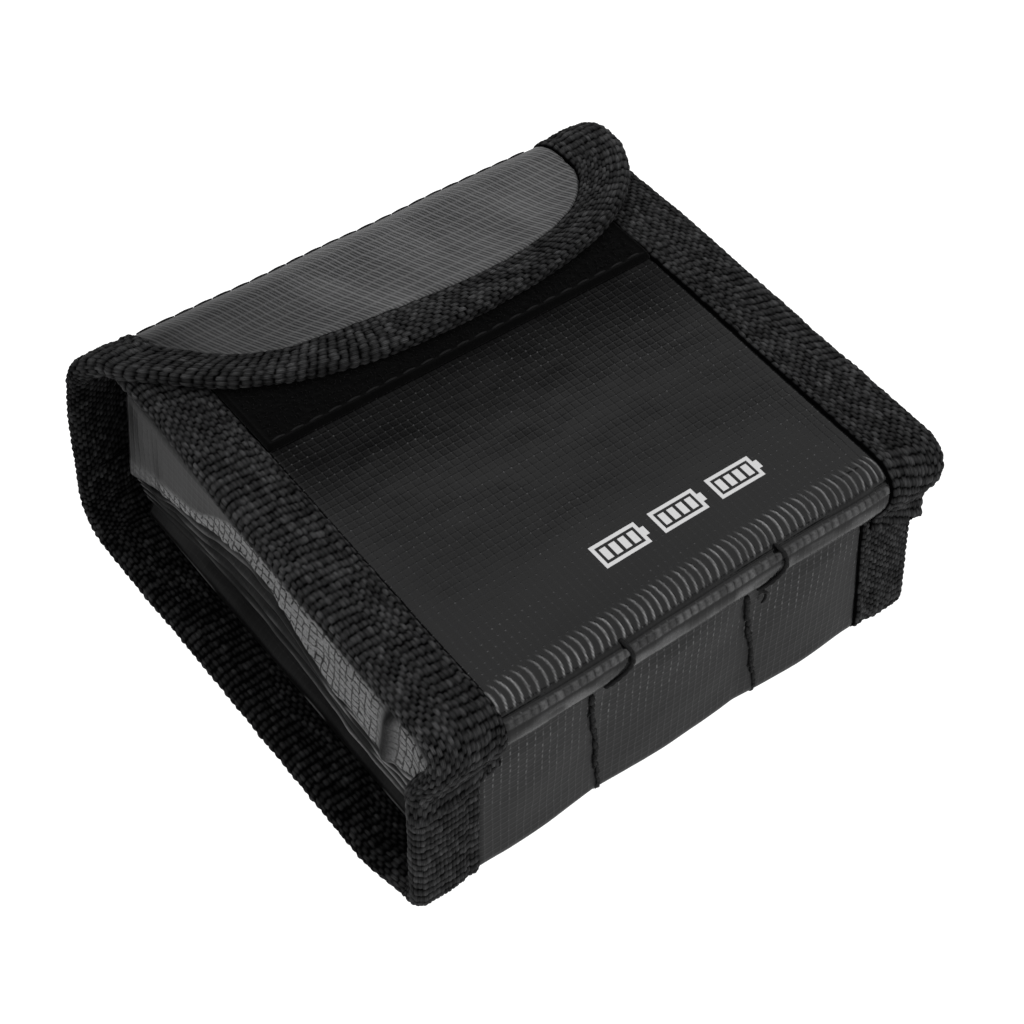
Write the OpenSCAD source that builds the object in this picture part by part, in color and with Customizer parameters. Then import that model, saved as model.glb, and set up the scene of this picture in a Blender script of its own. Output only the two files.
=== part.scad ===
// Small fire-resistant battery pouch, lying on its back.
// Origin: centre of the footprint on the floor. X runs across the pouch from left
// to right, +Y points to the mouth and the flap's hinge, -Y to the closed end, +Z up.
// One long coated-fabric web makes the front panel, the roll over the closed
// end, the bottom wall, the back panel, the closing wall and the flap. Its side
// edges are bound in folded webbing tape that also catches two bellows gussets.

/* [Bag] */
// Width of the back panel and the flap across their bindings
bag_w = 100; // [90:1:130]
// Half the length, from the middle to the outer face of the closed end
half_len = 45.5; // [45.5:0.5:60]
// Height of the front panel's outer face above the floor
front_h = 38; // [37:0.5:44]
// Height of the closed flap's outer face above the floor
flap_h = 42.6; // [42.6:0.1:50]
// How far the front panel's left edge sits inside the back panel's left edge
front_inset = 4.5; // [0:0.5:6]
// How far the bottom wall's left edge sits inside the back panel's (the right: a third)
bottom_inset = 1.5; // [0:0.5:3]

/* [Cloth] */
// Thickness of the coated outer cloth
cloth = 0.6; // [0.4:0.05:0.6]
// Thickness of the glass-fibre lining
lining = 0.4; // [0.3:0.05:0.4]
// Thickness of the gusset cloth
gusset_t = 0.5; // [0.3:0.05:0.5]
// Thickness of the divider webs
divider_t = 0.8; // [0.5:0.1:1.5]

/* [Binding] */
// Visible width of the folded binding tape
tape_w = 11; // [9:0.5:12.5]
// Thickness of one layer of tape
tape_t = 0.9; // [0.7:0.05:0.9]
// Width of the narrower binding along the mouth edge
mouth_tape_w = 4.5; // [4:0.5:5]

/* [Closed end] */
// Outer radius of the soft roll between the front panel and the crease
roll_r = 5; // [4.5:0.1:6]
// Lean of the bottom wall away from upright, in degrees
bottom_lean = 4; // [0:0.5:6]
// Outer radius between the bottom wall and the back panel
floor_r = 3.5; // [3.3:0.1:5]

/* [Flap] */
// Outer radius of the bend between the back panel and the closing wall
wall_r = 8; // [7:0.5:9]
// Outer radius of the bend between the closing wall and the flap
hinge_r = 7.5; // [7:0.25:9]
// Front edge of the closed flap, measured from the middle of the pouch
flap_y = 14.3; // [10:0.1:18]
// Size of the flap's left corner along X
corner_lx = 34; // [20:1:40]
// Size of the flap's right corner along X
corner_rx = 28; // [20:1:40]
// Size of both flap corners along Y
corner_y = 20; // [12:0.5:20]

/* [Closure] */
// Edge of the loop strip nearer the closed end
loop_y0 = 12; // [9:0.5:16]
// Edge of the loop strip nearer the mouth
loop_y1 = 32; // [26:0.5:32.5]
// Thickness of the hook and the loop strip
fastener_t = 1.2; // [0.8:0.1:1.2]

/* [Pockets] */
// Place of the left divider across the pouch
divider_l = -15; // [-20:0.5:-10]
// Place of the right divider across the pouch
divider_r = 12.5; // [8:0.5:18]

/* [Stitches] */
// Length of one visible stitch
stitch_len = 2.3; // [1.5:0.1:2.6]
// Distance from one stitch to the next
stitch_pitch = 3.4; // [3:0.1:5]
// Diameter of the thread
thread = 0.45; // [0.3:0.05:0.6]
// How far a stitch stands proud of the surface it lies on
proud = 0.25; // [0.15:0.05:0.3]

/* [Hidden] */

black_cloth = [0.16, 0.16, 0.17];
black_tape = [0.07, 0.07, 0.075];
black_thread = [0.04, 0.04, 0.04];
black_loop = [0.03, 0.03, 0.03];
black_hook = [0.05, 0.05, 0.05];
fibre = [0.3, 0.3, 0.31];

gap = 0.05;          // clearance between layers
facet_deg = 7.5;     // largest turn of one facet in a bend
stitch_margin = 1.8; // from the tape's inner edge to its stitch line

// Edges of each stretch of the web across X: [left, right]
back_x = [-bag_w / 2, bag_w / 2];
bottom_x = [-bag_w / 2 + bottom_inset, bag_w / 2 - bottom_inset / 3];
front_x = [-bag_w / 2 + front_inset, bag_w / 2];

// Thickness of a bound edge that catches a gusset, and of one that doesn't
edge_t = 2 * tape_t + cloth + gusset_t + 3 * gap;
rim_t = 2 * tape_t + cloth + 2 * gap;

// Distances in from the web's side edge
body_inset = tape_w + gap;        // full-height cloth starts
step_inset = body_inset + cloth;  // step down into the tape ends
tuck_inset = tape_t + 0.1;        // tucked cloth edge
lining_inset = step_inset + 0.9;

// Levels measured from the web's outer face, negative inwards
tuck_level = -tape_t - gap;       // outer face of the cloth inside the tape
tuck_floor = tuck_level - cloth;
lining_top = -cloth - gap;
lining_floor = lining_top - lining;

// Width of the front panel left free between its side bindings
free_x = [front_x[0] + body_inset, front_x[1] - body_inset];
free_w = free_x[1] - free_x[0];

// ---- The web's side view: paths in Y and Z ----
// A path is [start, heading, steps]. Walking the web from the front panel to
// the flap keeps the inside on the left; a positive turn bends to the left.
function straight(length) = ["straight", length];
function bend(radius, turn) = ["bend", radius, turn];
function outward(heading) = [sin(heading), -cos(heading)];
function ahead(heading) = [cos(heading), sin(heading)];
function turn_sign(step) = step[2] > 0 ? 1 : -1;
function bend_centre(start, heading, step) =
    start - turn_sign(step) * step[1] * outward(heading);

// Where one step ends: [point, heading]
function step_end(start, heading, step) =
    step[0] == "straight" ? [start + step[1] * ahead(heading), heading]
    : let (last = heading + step[2])
      [bend_centre(start, heading, step) + turn_sign(step) * step[1] * outward(last), last];

// Where a whole path ends: [point, heading]
function path_end(path, i = 0) =
    i == len(path[2]) ? [path[0], path[1]]
    : let (next = step_end(path[0], path[1], path[2][i]))
      path_end([next[0], next[1], path[2]], i + 1);

// Points of one step at a level; only the first step adds its start point
function step_points(start, heading, step, level, first) =
    step[0] == "straight"
    ? [for (along = first ? [0, step[1]] : [step[1]])
          start + along * ahead(heading) + level * outward(heading)]
    : let (centre = bend_centre(start, heading, step),
           facets = max(2, ceil(abs(step[2]) / facet_deg)))
      [for (i = [first ? 0 : 1 : facets])
          centre + (turn_sign(step) * step[1] + level) * outward(heading + step[2] * i / facets)];

function path_points(path, level, i = 0) =
    i == len(path[2]) ? []
    : let (next = step_end(path[0], path[1], path[2][i]))
      concat(step_points(path[0], path[1], path[2][i], level, i == 0),
             path_points([next[0], next[1], path[2]], level, i + 1));

function reversed(list) = [for (i = [len(list) - 1 : -1 : 0]) list[i]];
function snapped(points) = [for (p = points) [round(p[0] * 1e4) / 1e4, round(p[1] * 1e4) / 1e4]];

// A strip of the web between two levels and two X values
module band(path, low, high, x0, x1) {
    translate([min(x0, x1), 0, 0]) rotate([90, 0, 90]) linear_extrude(abs(x1 - x0))
        polygon(snapped(concat(path_points(path, low), reversed(path_points(path, high)))));
}

// Outer cloth whose side edges step inwards to pass inside the folded tape
module web(path, edges) {
    for (side = [[edges[0], 1], [edges[1], -1]]) {
        x = side[0];
        inward = side[1];
        band(path, tuck_floor, 0, x + inward * body_inset, x + inward * step_inset);
        band(path, tuck_floor, tuck_level, x + inward * tuck_inset, x + inward * step_inset);
    }
    band(path, -cloth, 0, edges[0] + body_inset, edges[1] - body_inset);
}

module web_lining(path, edges) {
    band(path, lining_floor, lining_top, edges[0] + lining_inset, edges[1] - lining_inset);
}

// Tape folded round a side edge: two layers and the fold that joins them
module binding(path, x, inward, thick) {
    band(path, -tape_t, 0, x, x + inward * tape_w);
    band(path, -thick, -thick + tape_t, x, x + inward * tape_w);
    band(path, -thick, 0, x, x + inward * tape_t);
}
module binding_left(path, edges, thick) binding(path, edges[0], 1, thick);
module binding_right(path, edges, thick) binding(path, edges[1], -1, thick);

// ---- Stretches of the web ----
// Front panel, from a given Y to the roll
function front_run(y) = [[y, front_h], 180, [straight(y + half_len - roll_r)]];
mouth_y = half_len - 8;
cloth_end_y = mouth_y - mouth_tape_w - gap;
front_path = front_run(cloth_end_y);
front_edge = front_run(mouth_y);

// Roll, ending in a short straight before the crease
roll_turn = 125;
roll_path = [[-half_len + roll_r, front_h], 180, [bend(roll_r, roll_turn), straight(1.2)]];
roll_end = path_end(roll_path);

// Bottom wall, from the crease to the bend onto the floor
crease = bend(0.8, 90 - roll_turn - bottom_lean);
crease_end = path_end([roll_end[0], roll_end[1], [crease]]);
floor_bend_h = floor_r * (1 + sin(bottom_lean));
bottom_len = (crease_end[0][1] - floor_bend_h) / cos(bottom_lean);
bottom_path = [roll_end[0], roll_end[1],
               [crease, straight(bottom_len), bend(floor_r, 90 + bottom_lean)]];
back_y0 = path_end(bottom_path)[0][0];

// Back panel, with the first half of the bend up to the closing wall
wall_half_bend = bend(wall_r, 45);
back_path = [[back_y0, 0], 0, [straight(half_len - wall_r - back_y0), wall_half_bend]];
back_end = path_end(back_path);

// Closing wall: it rises, leans over the mouth and takes half of the hinge bend
lean_r = 60;
lean_deg = 15;
wall_rise = flap_h - wall_r - lean_r * sin(lean_deg) - hinge_r * (1 - sin(lean_deg));
hinge_half_bend = bend(hinge_r, (90 - lean_deg) / 2);
wall_path = [back_end[0], back_end[1],
             [wall_half_bend, straight(wall_rise), bend(lean_r, lean_deg), hinge_half_bend]];
wall_end = path_end(wall_path);

// Second half of the hinge bend, and where the flat flap starts
flap_bend = [wall_end[0], wall_end[1], [hinge_half_bend]];
flap_back_y = path_end(flap_bend)[0][0];

// ---- Flap outline in plan, moved in from the edge by an inset ----
function corner_points(centre, radii, from) = [for (i = [0 : 12])
    let (a = from + 90 * i / 12) centre + [radii[0] * cos(a), radii[1] * sin(a)]];
function flap_outline(inset) = concat(
    [[back_x[0] + inset, flap_back_y]],
    corner_points([back_x[0] + corner_lx, flap_y + corner_y],
                  [corner_lx - inset, corner_y - inset], 180),
    corner_points([back_x[1] - corner_rx, flap_y + corner_y],
                  [corner_rx - inset, corner_y - inset], 270),
    [[back_x[1] - inset, flap_back_y]]);

module flap_plate(inset, low, high) {
    translate([0, 0, flap_h + low]) linear_extrude(high - low) polygon(flap_outline(inset));
}

// Rim between two insets, open towards the hinge
module flap_ring(outer, inner, low, high) {
    difference() {
        flap_plate(outer, low, high);
        translate([0, 0, flap_h + low - 1]) linear_extrude(high - low + 2)
            polygon(concat([[back_x[0] + inner, flap_back_y + 1]], flap_outline(inner),
                           [[back_x[1] - inner, flap_back_y + 1]]));
    }
}

// ---- Gusset: a bellows sheet with a ridge near the top and a crease below ----
// Catmull-Rom curve through the points
function spline(v, i, t) =
    let (a = v[max(0, i - 1)], b = v[i], c = v[i + 1], d = v[min(len(v) - 1, i + 2)])
    0.5 * (2 * b + (c - a) * t + (2 * a - 5 * b + 4 * c - d) * t * t
           + (3 * b - a - 3 * c + d) * t * t * t);
function smooth(points, parts) = concat(
    [for (i = [0 : len(points) - 2]) for (k = [0 : parts - 1]) spline(points, i, k / parts)],
    [points[len(points) - 1]]);
// The line moved sideways by a distance
function beside(line, distance) = [for (i = [0 : len(line) - 1])
    let (along = line[min(len(line) - 1, i + 1)] - line[max(0, i - 1)])
    line[i] + distance * [-along[1], along[0]] / norm(along)];

// Middle line, top to bottom: [distance out from the middle of the pouch, Z]
function gusset_line(front_edge_x, back_edge_x, bulge) =
    let (top = front_h - tape_t - cloth - 3 * gap - gusset_t / 2,
         base = tape_t + cloth + 2 * gap + gusset_t / 2,
         front_in = front_edge_x - tape_w,
         back_in = back_edge_x - tape_w,
         belly = front_edge_x + bulge,
         hem = tape_t + 0.3)
    concat(
        [[front_edge_x - hem, top], [front_in + 0.4, top]],
        smooth([
            [front_in - 0.1, top], [front_in - 0.62, top - 0.6], [front_in - 0.6, top - 1.8],
            [front_in + 0.6, top - 2.35], [front_edge_x - 3.4, top - 2.7],
            [belly - 0.9, top - 4], [belly, top - 7], [belly - 1, top - 11],
            [back_in + 3.4, top - 15.5], [back_in + 1.2, top - 20.5], [back_in + 1.1, top - 26],
            [back_in + 1.3, base + 3.5], [back_in - 0.35, base + 1.9],
            [back_in - 0.55, base + 0.6], [back_in - 0.05, base]
        ], 4),
        [[back_in + 0.6, base], [back_edge_x - hem, base]]);

// side is -1 on the left and 1 on the right
module gusset(front_edge_x, back_edge_x, bulge, side) {
    line = gusset_line(front_edge_x, back_edge_x, bulge);
    outline = concat(beside(line, gusset_t / 2), reversed(beside(line, -gusset_t / 2)));
    y1 = mouth_y - 1;
    translate([0, y1, 0]) rotate([90, 0, 0]) linear_extrude(y1 + half_len - roll_r - 0.2)
        polygon([for (p = outline) [side * p[0], p[1]]]);
}

module divider(x) {
    y0 = -half_len + 3.2;
    y1 = mouth_y - 7;
    translate([x - divider_t / 2, y0, cloth + lining + 0.2])
        cube([divider_t, y1 - y0, front_h - 4.5]);
}

// ---- Stitches ----
// A dash of thread along X or Y lying on a face at height z
module dash_x(x, y, z) {
    translate([x - stitch_len / 2, y - thread / 2, z]) cube([stitch_len, thread, proud]);
}
module dash_y(x, y, z) {
    translate([x - thread / 2, y - stitch_len / 2, z]) cube([thread, stitch_len, proud]);
}
// A row of dashes on the outside of a straight stretch of the web
module dashes_up(x, start, heading, count) {
    for (i = [0 : count - 1]) {
        place = start + (i + 0.5) * stitch_pitch * ahead(heading);
        translate([x - thread / 2, place[0], place[1]]) rotate([heading, 0, 0])
            translate([0, -stitch_len / 2, -proud]) cube([thread, stitch_len, proud]);
    }
}
// X of the stitch lines along the left and right bindings
function stitch_lines(edges) =
    [edges[0] + tape_w - stitch_margin, edges[1] - tape_w + stitch_margin];

// ---- Back panel ----
module back_panel() color(black_cloth) web(back_path, back_x);
module back_lining() color(fibre) web_lining(back_path, back_x);
module back_binding_left() color(black_tape) binding_left(back_path, back_x, edge_t);
module back_binding_right() color(black_tape) binding_right(back_path, back_x, edge_t);
// On the inner face of the bindings
module back_binding_stitches() color(black_thread)
    for (x = stitch_lines(back_x))
        for (y = [back_y0 + 2.5 : stitch_pitch : half_len - wall_r - 1.5])
            dash_y(x, y, edge_t);

// ---- Bottom wall at the closed end ----
module bottom_wall() color(black_cloth) web(bottom_path, bottom_x);
module bottom_lining() color(fibre) web_lining(bottom_path, bottom_x);
module bottom_binding_left() color(black_tape) binding_left(bottom_path, bottom_x, edge_t);
module bottom_binding_right() color(black_tape) binding_right(bottom_path, bottom_x, edge_t);
module divider_seam_lower() color(black_thread) {
    margin = 0.8;
    for (x = [divider_l, divider_r])
        dashes_up(x, crease_end[0] + margin * ahead(crease_end[1]), crease_end[1],
                  floor((bottom_len - 2 * margin) / stitch_pitch));
}

// ---- Bellows gussets and pocket dividers ----
module gusset_left() color(black_cloth) gusset(-front_x[0], -back_x[0], bulge = 0.5, side = -1);
module gusset_right() color(black_cloth) gusset(front_x[1], back_x[1], bulge = -1.2, side = 1);
module divider_left() color(fibre) divider(divider_l);
module divider_right() color(fibre) divider(divider_r);

// ---- Roll over the closed end ----
module bottom_roll() color(black_cloth) web(roll_path, front_x);
module roll_lining() color(fibre) web_lining(roll_path, front_x);
module roll_binding_left() color(black_tape) binding_left(roll_path, front_x, edge_t);
module roll_binding_right() color(black_tape) binding_right(roll_path, front_x, edge_t);
// Two dashes at each divider, turned about the roll's axis and sunk slightly into it
module divider_seam_upper() color(black_thread) {
    sink = 0.02;
    for (x = [divider_l, divider_r]) for (angle = [-97, -57])
        translate([x - thread / 2, -half_len + roll_r, front_h - roll_r]) rotate([angle, 0, 0])
            translate([0, -stitch_len / 2, -roll_r - proud])
                cube([thread, stitch_len, proud + sink]);
}

// ---- Front panel ----
// The cloth also steps down at the mouth, to pass inside the mouth binding
module front_panel() color(black_cloth) {
    web(front_path, front_x);
    step_y = cloth_end_y - cloth;
    translate([free_x[0], step_y, front_h + tuck_floor]) cube([free_w, cloth, -tuck_floor]);
    translate([front_x[0] + tuck_inset, step_y, front_h + tuck_floor])
        cube([front_x[1] - front_x[0] - 2 * tuck_inset, mouth_y - tuck_inset - step_y, cloth]);
}
module front_lining() color(fibre) {
    side_inset = tape_w + 2;
    band(front_run(cloth_end_y - cloth - 0.3), lining_floor, lining_top,
         front_x[0] + side_inset, front_x[1] - side_inset);
}
module front_binding_left() color(black_tape) binding_left(front_edge, front_x, edge_t);
module front_binding_right() color(black_tape) binding_right(front_edge, front_x, edge_t);
module front_binding_stitches() color(black_thread)
    for (x = stitch_lines(front_x))
        for (y = [-half_len + roll_r + 2 : stitch_pitch : mouth_y - 2])
            dash_y(x, y, front_h);

// Outer layer, slightly narrower inner layer, and the fold at the mouth
module mouth_binding() color(black_tape) {
    inner_inset = 1.1;
    y0 = mouth_y - mouth_tape_w;
    translate([free_x[0], y0, front_h - tape_t]) cube([free_w, mouth_tape_w, tape_t]);
    translate([free_x[0] + inner_inset, y0, front_h - rim_t])
        cube([free_w - 2 * inner_inset, mouth_tape_w, tape_t]);
    translate([free_x[0], mouth_y - tape_t, front_h - rim_t]) cube([free_w, tape_t, rim_t]);
}

module loop_strip() color(black_loop)
    translate([free_x[0], loop_y0, front_h]) cube([free_w, loop_y1 - loop_y0, fastener_t]);
module loop_strip_stitches() color(black_thread)
    for (y = [loop_y0 + 1.2, loop_y1 - 1.2])
        for (x = [free_x[0] + 2.5 : stitch_pitch : free_x[1] - 2])
            dash_x(x, y, front_h + fastener_t);

// Printed mark: three framed cells in a row along X, each with four bars
// inside and a terminal on its right
mark_centre = [7.6, -31.4];
mark_t = 0.1;
cell_pitch = 11;
cell = [8.4, 4.4];
cell_line = 0.6;
terminal = [0.7, 1.6];
bar = [1.1, 2.2];
bar_pitch = 1.7;
module front_mark() color("white")
    for (i = [-1 : 1]) translate([mark_centre[0] + i * cell_pitch, mark_centre[1], front_h]) {
        difference() {
            translate([-cell[0] / 2, -cell[1] / 2, 0]) cube([cell[0], cell[1], mark_t]);
            translate([-cell[0] / 2 + cell_line, -cell[1] / 2 + cell_line, -1])
                cube([cell[0] - 2 * cell_line, cell[1] - 2 * cell_line, 2]);
        }
        translate([cell[0] / 2, -terminal[1] / 2, 0]) cube([terminal[0], terminal[1], mark_t]);
        for (k = [-2 : 1])
            translate([k * bar_pitch + 0.3, -bar[1] / 2, 0]) cube([bar[0], bar[1], mark_t]);
    }

// ---- Closing wall over the mouth ----
module closing_wall() color(black_cloth) web(wall_path, back_x);
module wall_lining() color(fibre) web_lining(wall_path, back_x);
module wall_binding_left() color(black_tape) binding_left(wall_path, back_x, rim_t);
module wall_binding_right() color(black_tape) binding_right(wall_path, back_x, rim_t);
module wall_binding_stitches() color(black_thread)
    for (x = stitch_lines(back_x))
        dashes_up(x, [half_len, wall_r + 0.6], 90, floor((wall_rise - 1) / stitch_pitch));

// ---- Flap ----
module flap_panel() color(black_cloth) {
    web(flap_bend, back_x);
    flap_plate(body_inset, -cloth, 0);
    flap_ring(body_inset, step_inset, tuck_floor, 0);
    flap_ring(tuck_inset, step_inset, tuck_floor, tuck_level);
}
module flap_lining() color(fibre) {
    web_lining(flap_bend, back_x);
    flap_plate(lining_inset, lining_floor, lining_top);
}
module flap_binding() color(black_tape) {
    binding_left(flap_bend, back_x, rim_t);
    binding_right(flap_bend, back_x, rim_t);
    flap_ring(0, tape_w, -tape_t, 0);
    flap_ring(0, tape_w, -rim_t, -rim_t + tape_t);
    flap_ring(0, tape_t, -rim_t, 0);
}
// Each side of the outline gets whole stitches, shortened where the side is short
module flap_binding_stitches() color(black_thread) {
    line = flap_outline(tape_w - stitch_margin);
    for (i = [2 : len(line) - 3]) {
        start = line[i];
        run = line[i + 1] - start;
        count = max(1, floor(norm(run) / stitch_pitch + 0.35));
        dash_len = min(stitch_len, 0.7 * norm(run) / count);
        for (k = [0 : count - 1]) {
            place = start + run * (k + 0.5) / count;
            translate([place[0], place[1], flap_h]) rotate([0, 0, atan2(run[1], run[0])])
                translate([-dash_len / 2, -thread / 2, 0]) cube([dash_len, thread, proud]);
        }
    }
}
module hinge_stitches() color(black_thread)
    for (x = [back_x[0] + tape_w + 2.5 : stitch_pitch : back_x[1] - tape_w - 2])
        dash_x(x, flap_back_y - 0.8, flap_h);

// Hook strip on the underside of the flap
hook_x = [-26, 28];
hook_y = [flap_y + tape_w + 2.2, flap_back_y - 1.2];
hook_z = flap_h - cloth - lining - 2 * gap - fastener_t;
module hook_strip() color(black_hook)
    translate([hook_x[0], hook_y[0], hook_z])
        cube([hook_x[1] - hook_x[0], hook_y[1] - hook_y[0], fastener_t]);
module hook_strip_stitches() color(black_thread)
    for (y = [hook_y[0] + 1, hook_y[1] - 1])
        for (x = [hook_x[0] + 2 : stitch_pitch : hook_x[1] - 1.5])
            dash_x(x, y, hook_z - proud);

back_panel();
back_lining();
back_binding_left();
back_binding_right();
back_binding_stitches();
bottom_wall();
bottom_lining();
bottom_binding_left();
bottom_binding_right();
divider_seam_lower();
gusset_left();
gusset_right();
divider_left();
divider_right();
bottom_roll();
roll_lining();
roll_binding_left();
roll_binding_right();
divider_seam_upper();
front_panel();
front_lining();
front_binding_left();
front_binding_right();
front_binding_stitches();
mouth_binding();
loop_strip();
loop_strip_stitches();
front_mark();
closing_wall();
wall_lining();
wall_binding_left();
wall_binding_right();
wall_binding_stitches();
flap_panel();
flap_lining();
flap_binding();
flap_binding_stitches();
hinge_stitches();
hook_strip();
hook_strip_stitches();
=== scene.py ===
import math

import bpy
import bmesh
import numpy as np
from mathutils import Matrix, Vector


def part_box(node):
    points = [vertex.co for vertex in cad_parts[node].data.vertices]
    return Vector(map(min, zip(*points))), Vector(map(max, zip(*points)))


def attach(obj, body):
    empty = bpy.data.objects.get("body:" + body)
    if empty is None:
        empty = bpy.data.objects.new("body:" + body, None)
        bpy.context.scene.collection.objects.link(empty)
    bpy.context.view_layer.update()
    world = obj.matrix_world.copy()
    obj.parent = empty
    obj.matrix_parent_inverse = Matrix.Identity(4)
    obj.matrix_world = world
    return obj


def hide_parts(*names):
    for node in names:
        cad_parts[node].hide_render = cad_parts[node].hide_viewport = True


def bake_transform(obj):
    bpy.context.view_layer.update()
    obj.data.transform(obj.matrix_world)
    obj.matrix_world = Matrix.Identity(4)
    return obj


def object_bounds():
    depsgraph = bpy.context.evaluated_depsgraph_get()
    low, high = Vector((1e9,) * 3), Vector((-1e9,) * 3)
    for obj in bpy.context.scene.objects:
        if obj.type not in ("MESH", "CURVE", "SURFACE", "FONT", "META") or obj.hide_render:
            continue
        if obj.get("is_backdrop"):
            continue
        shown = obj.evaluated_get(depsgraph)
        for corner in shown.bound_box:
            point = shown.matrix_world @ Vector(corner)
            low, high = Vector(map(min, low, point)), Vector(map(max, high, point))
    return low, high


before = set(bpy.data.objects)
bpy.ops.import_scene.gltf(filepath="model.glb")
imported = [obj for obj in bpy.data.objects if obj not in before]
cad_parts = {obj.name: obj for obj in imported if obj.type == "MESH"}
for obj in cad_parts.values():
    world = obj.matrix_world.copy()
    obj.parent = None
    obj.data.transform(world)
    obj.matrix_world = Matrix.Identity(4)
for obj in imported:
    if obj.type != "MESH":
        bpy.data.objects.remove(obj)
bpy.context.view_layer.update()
MM = 0.001
rng = np.random.RandomState(7)


# ------------------------------------------------------------------ maths
COL = 0.68     # width of one column of warp ends
RIB = 1.55     # from one rib across the tape to the next


def noise2(u, v, seed=0):
    """Smooth value noise between -1 and 1."""
    r = np.random.RandomState(seed).rand(64, 64) * 2 - 1
    u, v = np.broadcast_arrays(np.asarray(u, float), np.asarray(v, float))
    iu, iv = np.floor(u).astype(int), np.floor(v).astype(int)
    fu, fv = u - iu, v - iv
    fu, fv = fu * fu * (3 - 2 * fu), fv * fv * (3 - 2 * fv)

    def g(a, b):
        return r[a % 64, b % 64]

    return (g(iu, iv) * (1 - fu) + g(iu + 1, iv) * fu) * (1 - fv) + (
        g(iu, iv + 1) * (1 - fu) + g(iu + 1, iv + 1) * fu
    ) * fv


def fbm(u, v, seed=0, octaves=3):
    total, amp = 0, 1.0
    for k in range(octaves):
        total = total + amp * noise2(u * 2**k + 7.3 * k, v * 2**k - 3.1 * k, seed + k)
        amp *= 0.5
    return total / 1.75


def smooth01(x):
    x = np.clip(x, 0, 1)
    return x * x * (3 - 2 * x)


def gauss(x, w):
    return np.exp(-((np.asarray(x, float) / w) ** 2))


def unit(v):
    return v / np.maximum(np.linalg.norm(v, axis=-1, keepdims=True), 1e-9)


def catmull(pts, n, closed=False):
    """Dense centripetal-like curve through the points, n samples in each span."""
    p = np.asarray(pts, float)
    q = np.vstack([2 * p[0] - p[1], p, 2 * p[-1] - p[-2]])
    out = []
    t = np.linspace(0, 1, n, endpoint=False)[:, None]
    for i in range(1, len(q) - 2):
        a, b, c, d = q[i - 1], q[i], q[i + 1], q[i + 2]
        out.append(
            0.5 * (2 * b + (c - a) * t + (2 * a - 5 * b + 4 * c - d) * t**2 + (3 * b - a - 3 * c + d) * t**3)
        )
    out.append(p[-1:])
    return np.vstack(out)


def resample(p, step=None, n=None):
    """Points evenly spaced along a polyline."""
    d = np.concatenate([[0], np.cumsum(np.linalg.norm(np.diff(p, axis=0), axis=1))])
    if n is None:
        n = max(2, int(round(d[-1] / step)) + 1)
    s = np.linspace(0, d[-1], n)
    return np.stack([np.interp(s, d, p[:, k]) for k in range(p.shape[1])], 1), s


# ------------------------------------------------------------------ frame sizes (mm)
def box_mm(node):
    lo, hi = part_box(node)
    return np.array(lo) * 1000, np.array(hi) * 1000


_, _fr_hi = box_mm("front_binding_right")
_fl_lo, _ = box_mm("front_binding_left")
_bk_lo, _bk_hi = box_mm("back_panel")
_bt_lo, _bt_hi = box_mm("bottom_binding_left")
_flap_lo, _flap_hi = box_mm("flap_binding")
BACK_X = np.array([-50.0, 50.0])
FRONT_X = np.array([_fl_lo[0], _fr_hi[0]])
BOTTOM_X = np.array([_bt_lo[0], box_mm("bottom_binding_right")[1][0]])
FRONT_H = _fr_hi[2]
FLAP_H = _flap_hi[2]
MOUTH_Y = _fr_hi[1]
HALF = 45.5
TAPE_W = 11.0
EDGE_T = 3.05
RIM_T = 2.5
ROLL_R = 5.0


# ------------------------------------------------------------------ the web's side view
class Path:
    """The web's outer face in the YZ plane, by length along it, with outward normals."""

    def __init__(self, start, heading, steps, ds=0.2):
        p, h = np.array(start, float), heading
        P, H = [p.copy()], [h]
        marks = {}
        length = 0.0
        S = [0.0]
        for name, kind, *v in steps:
            if kind == "s":
                n = max(1, int(math.ceil(v[0] / ds)))
                d = np.array([math.cos(math.radians(h)), math.sin(math.radians(h))])
                for i in range(1, n + 1):
                    P.append(p + d * v[0] * i / n)
                    H.append(h)
                    S.append(length + v[0] * i / n)
                p = P[-1].copy()
                length += v[0]
            else:
                r, turn = v
                q = 1 if turn > 0 else -1
                o = lambda a: np.array([math.sin(math.radians(a)), -math.cos(math.radians(a))])
                c = p - q * r * o(h)
                arc = abs(math.radians(turn)) * r
                n = max(3, int(math.ceil(arc / ds)), int(math.ceil(abs(turn) / 4)))
                for i in range(1, n + 1):
                    e = h + turn * i / n
                    P.append(c + q * r * o(e))
                    H.append(e)
                    S.append(length + arc * i / n)
                h += turn
                p = P[-1].copy()
                length += arc
            marks[name] = length
        self.P, self.H, self.S, self.marks = np.array(P), np.array(H, float), np.array(S), marks

    def at(self, s):
        s = np.asarray(s, float)
        y, z = np.interp(s, self.S, self.P[:, 0]), np.interp(s, self.S, self.P[:, 1])
        h = np.radians(np.interp(s, self.S, self.H))
        return y, z, np.sin(h), -np.cos(h)


LEAN = 4.0
FLOOR_R = 3.5
web = Path(
    [MOUTH_Y, FRONT_H],
    180,
    [
        ("front", "s", MOUTH_Y + HALF - ROLL_R),
        ("roll", "b", ROLL_R, 125),
        ("roll_end", "s", 1.2),
        ("crease", "b", 0.8, -35 - LEAN),
        ("bottom", "s", 24.95),
        ("floor_bend", "b", FLOOR_R, 90 + LEAN),
        ("back", "s", 37.5 + 42.0138),
        ("back_bend", "b", 8.0, 45),
        ("wall_bend", "b", 8.0, 45),
        ("wall", "s", 13.512),
        ("lean", "b", 60.0, 15),
        ("hinge_a", "b", 7.5, 37.5),
        ("hinge_b", "b", 7.5, 37.5),
        ("flap", "s", 36.2111 - 6.0),
    ],
)
M = web.marks


def y_to_s_front(y):
    return MOUTH_Y - np.asarray(y, float)


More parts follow.
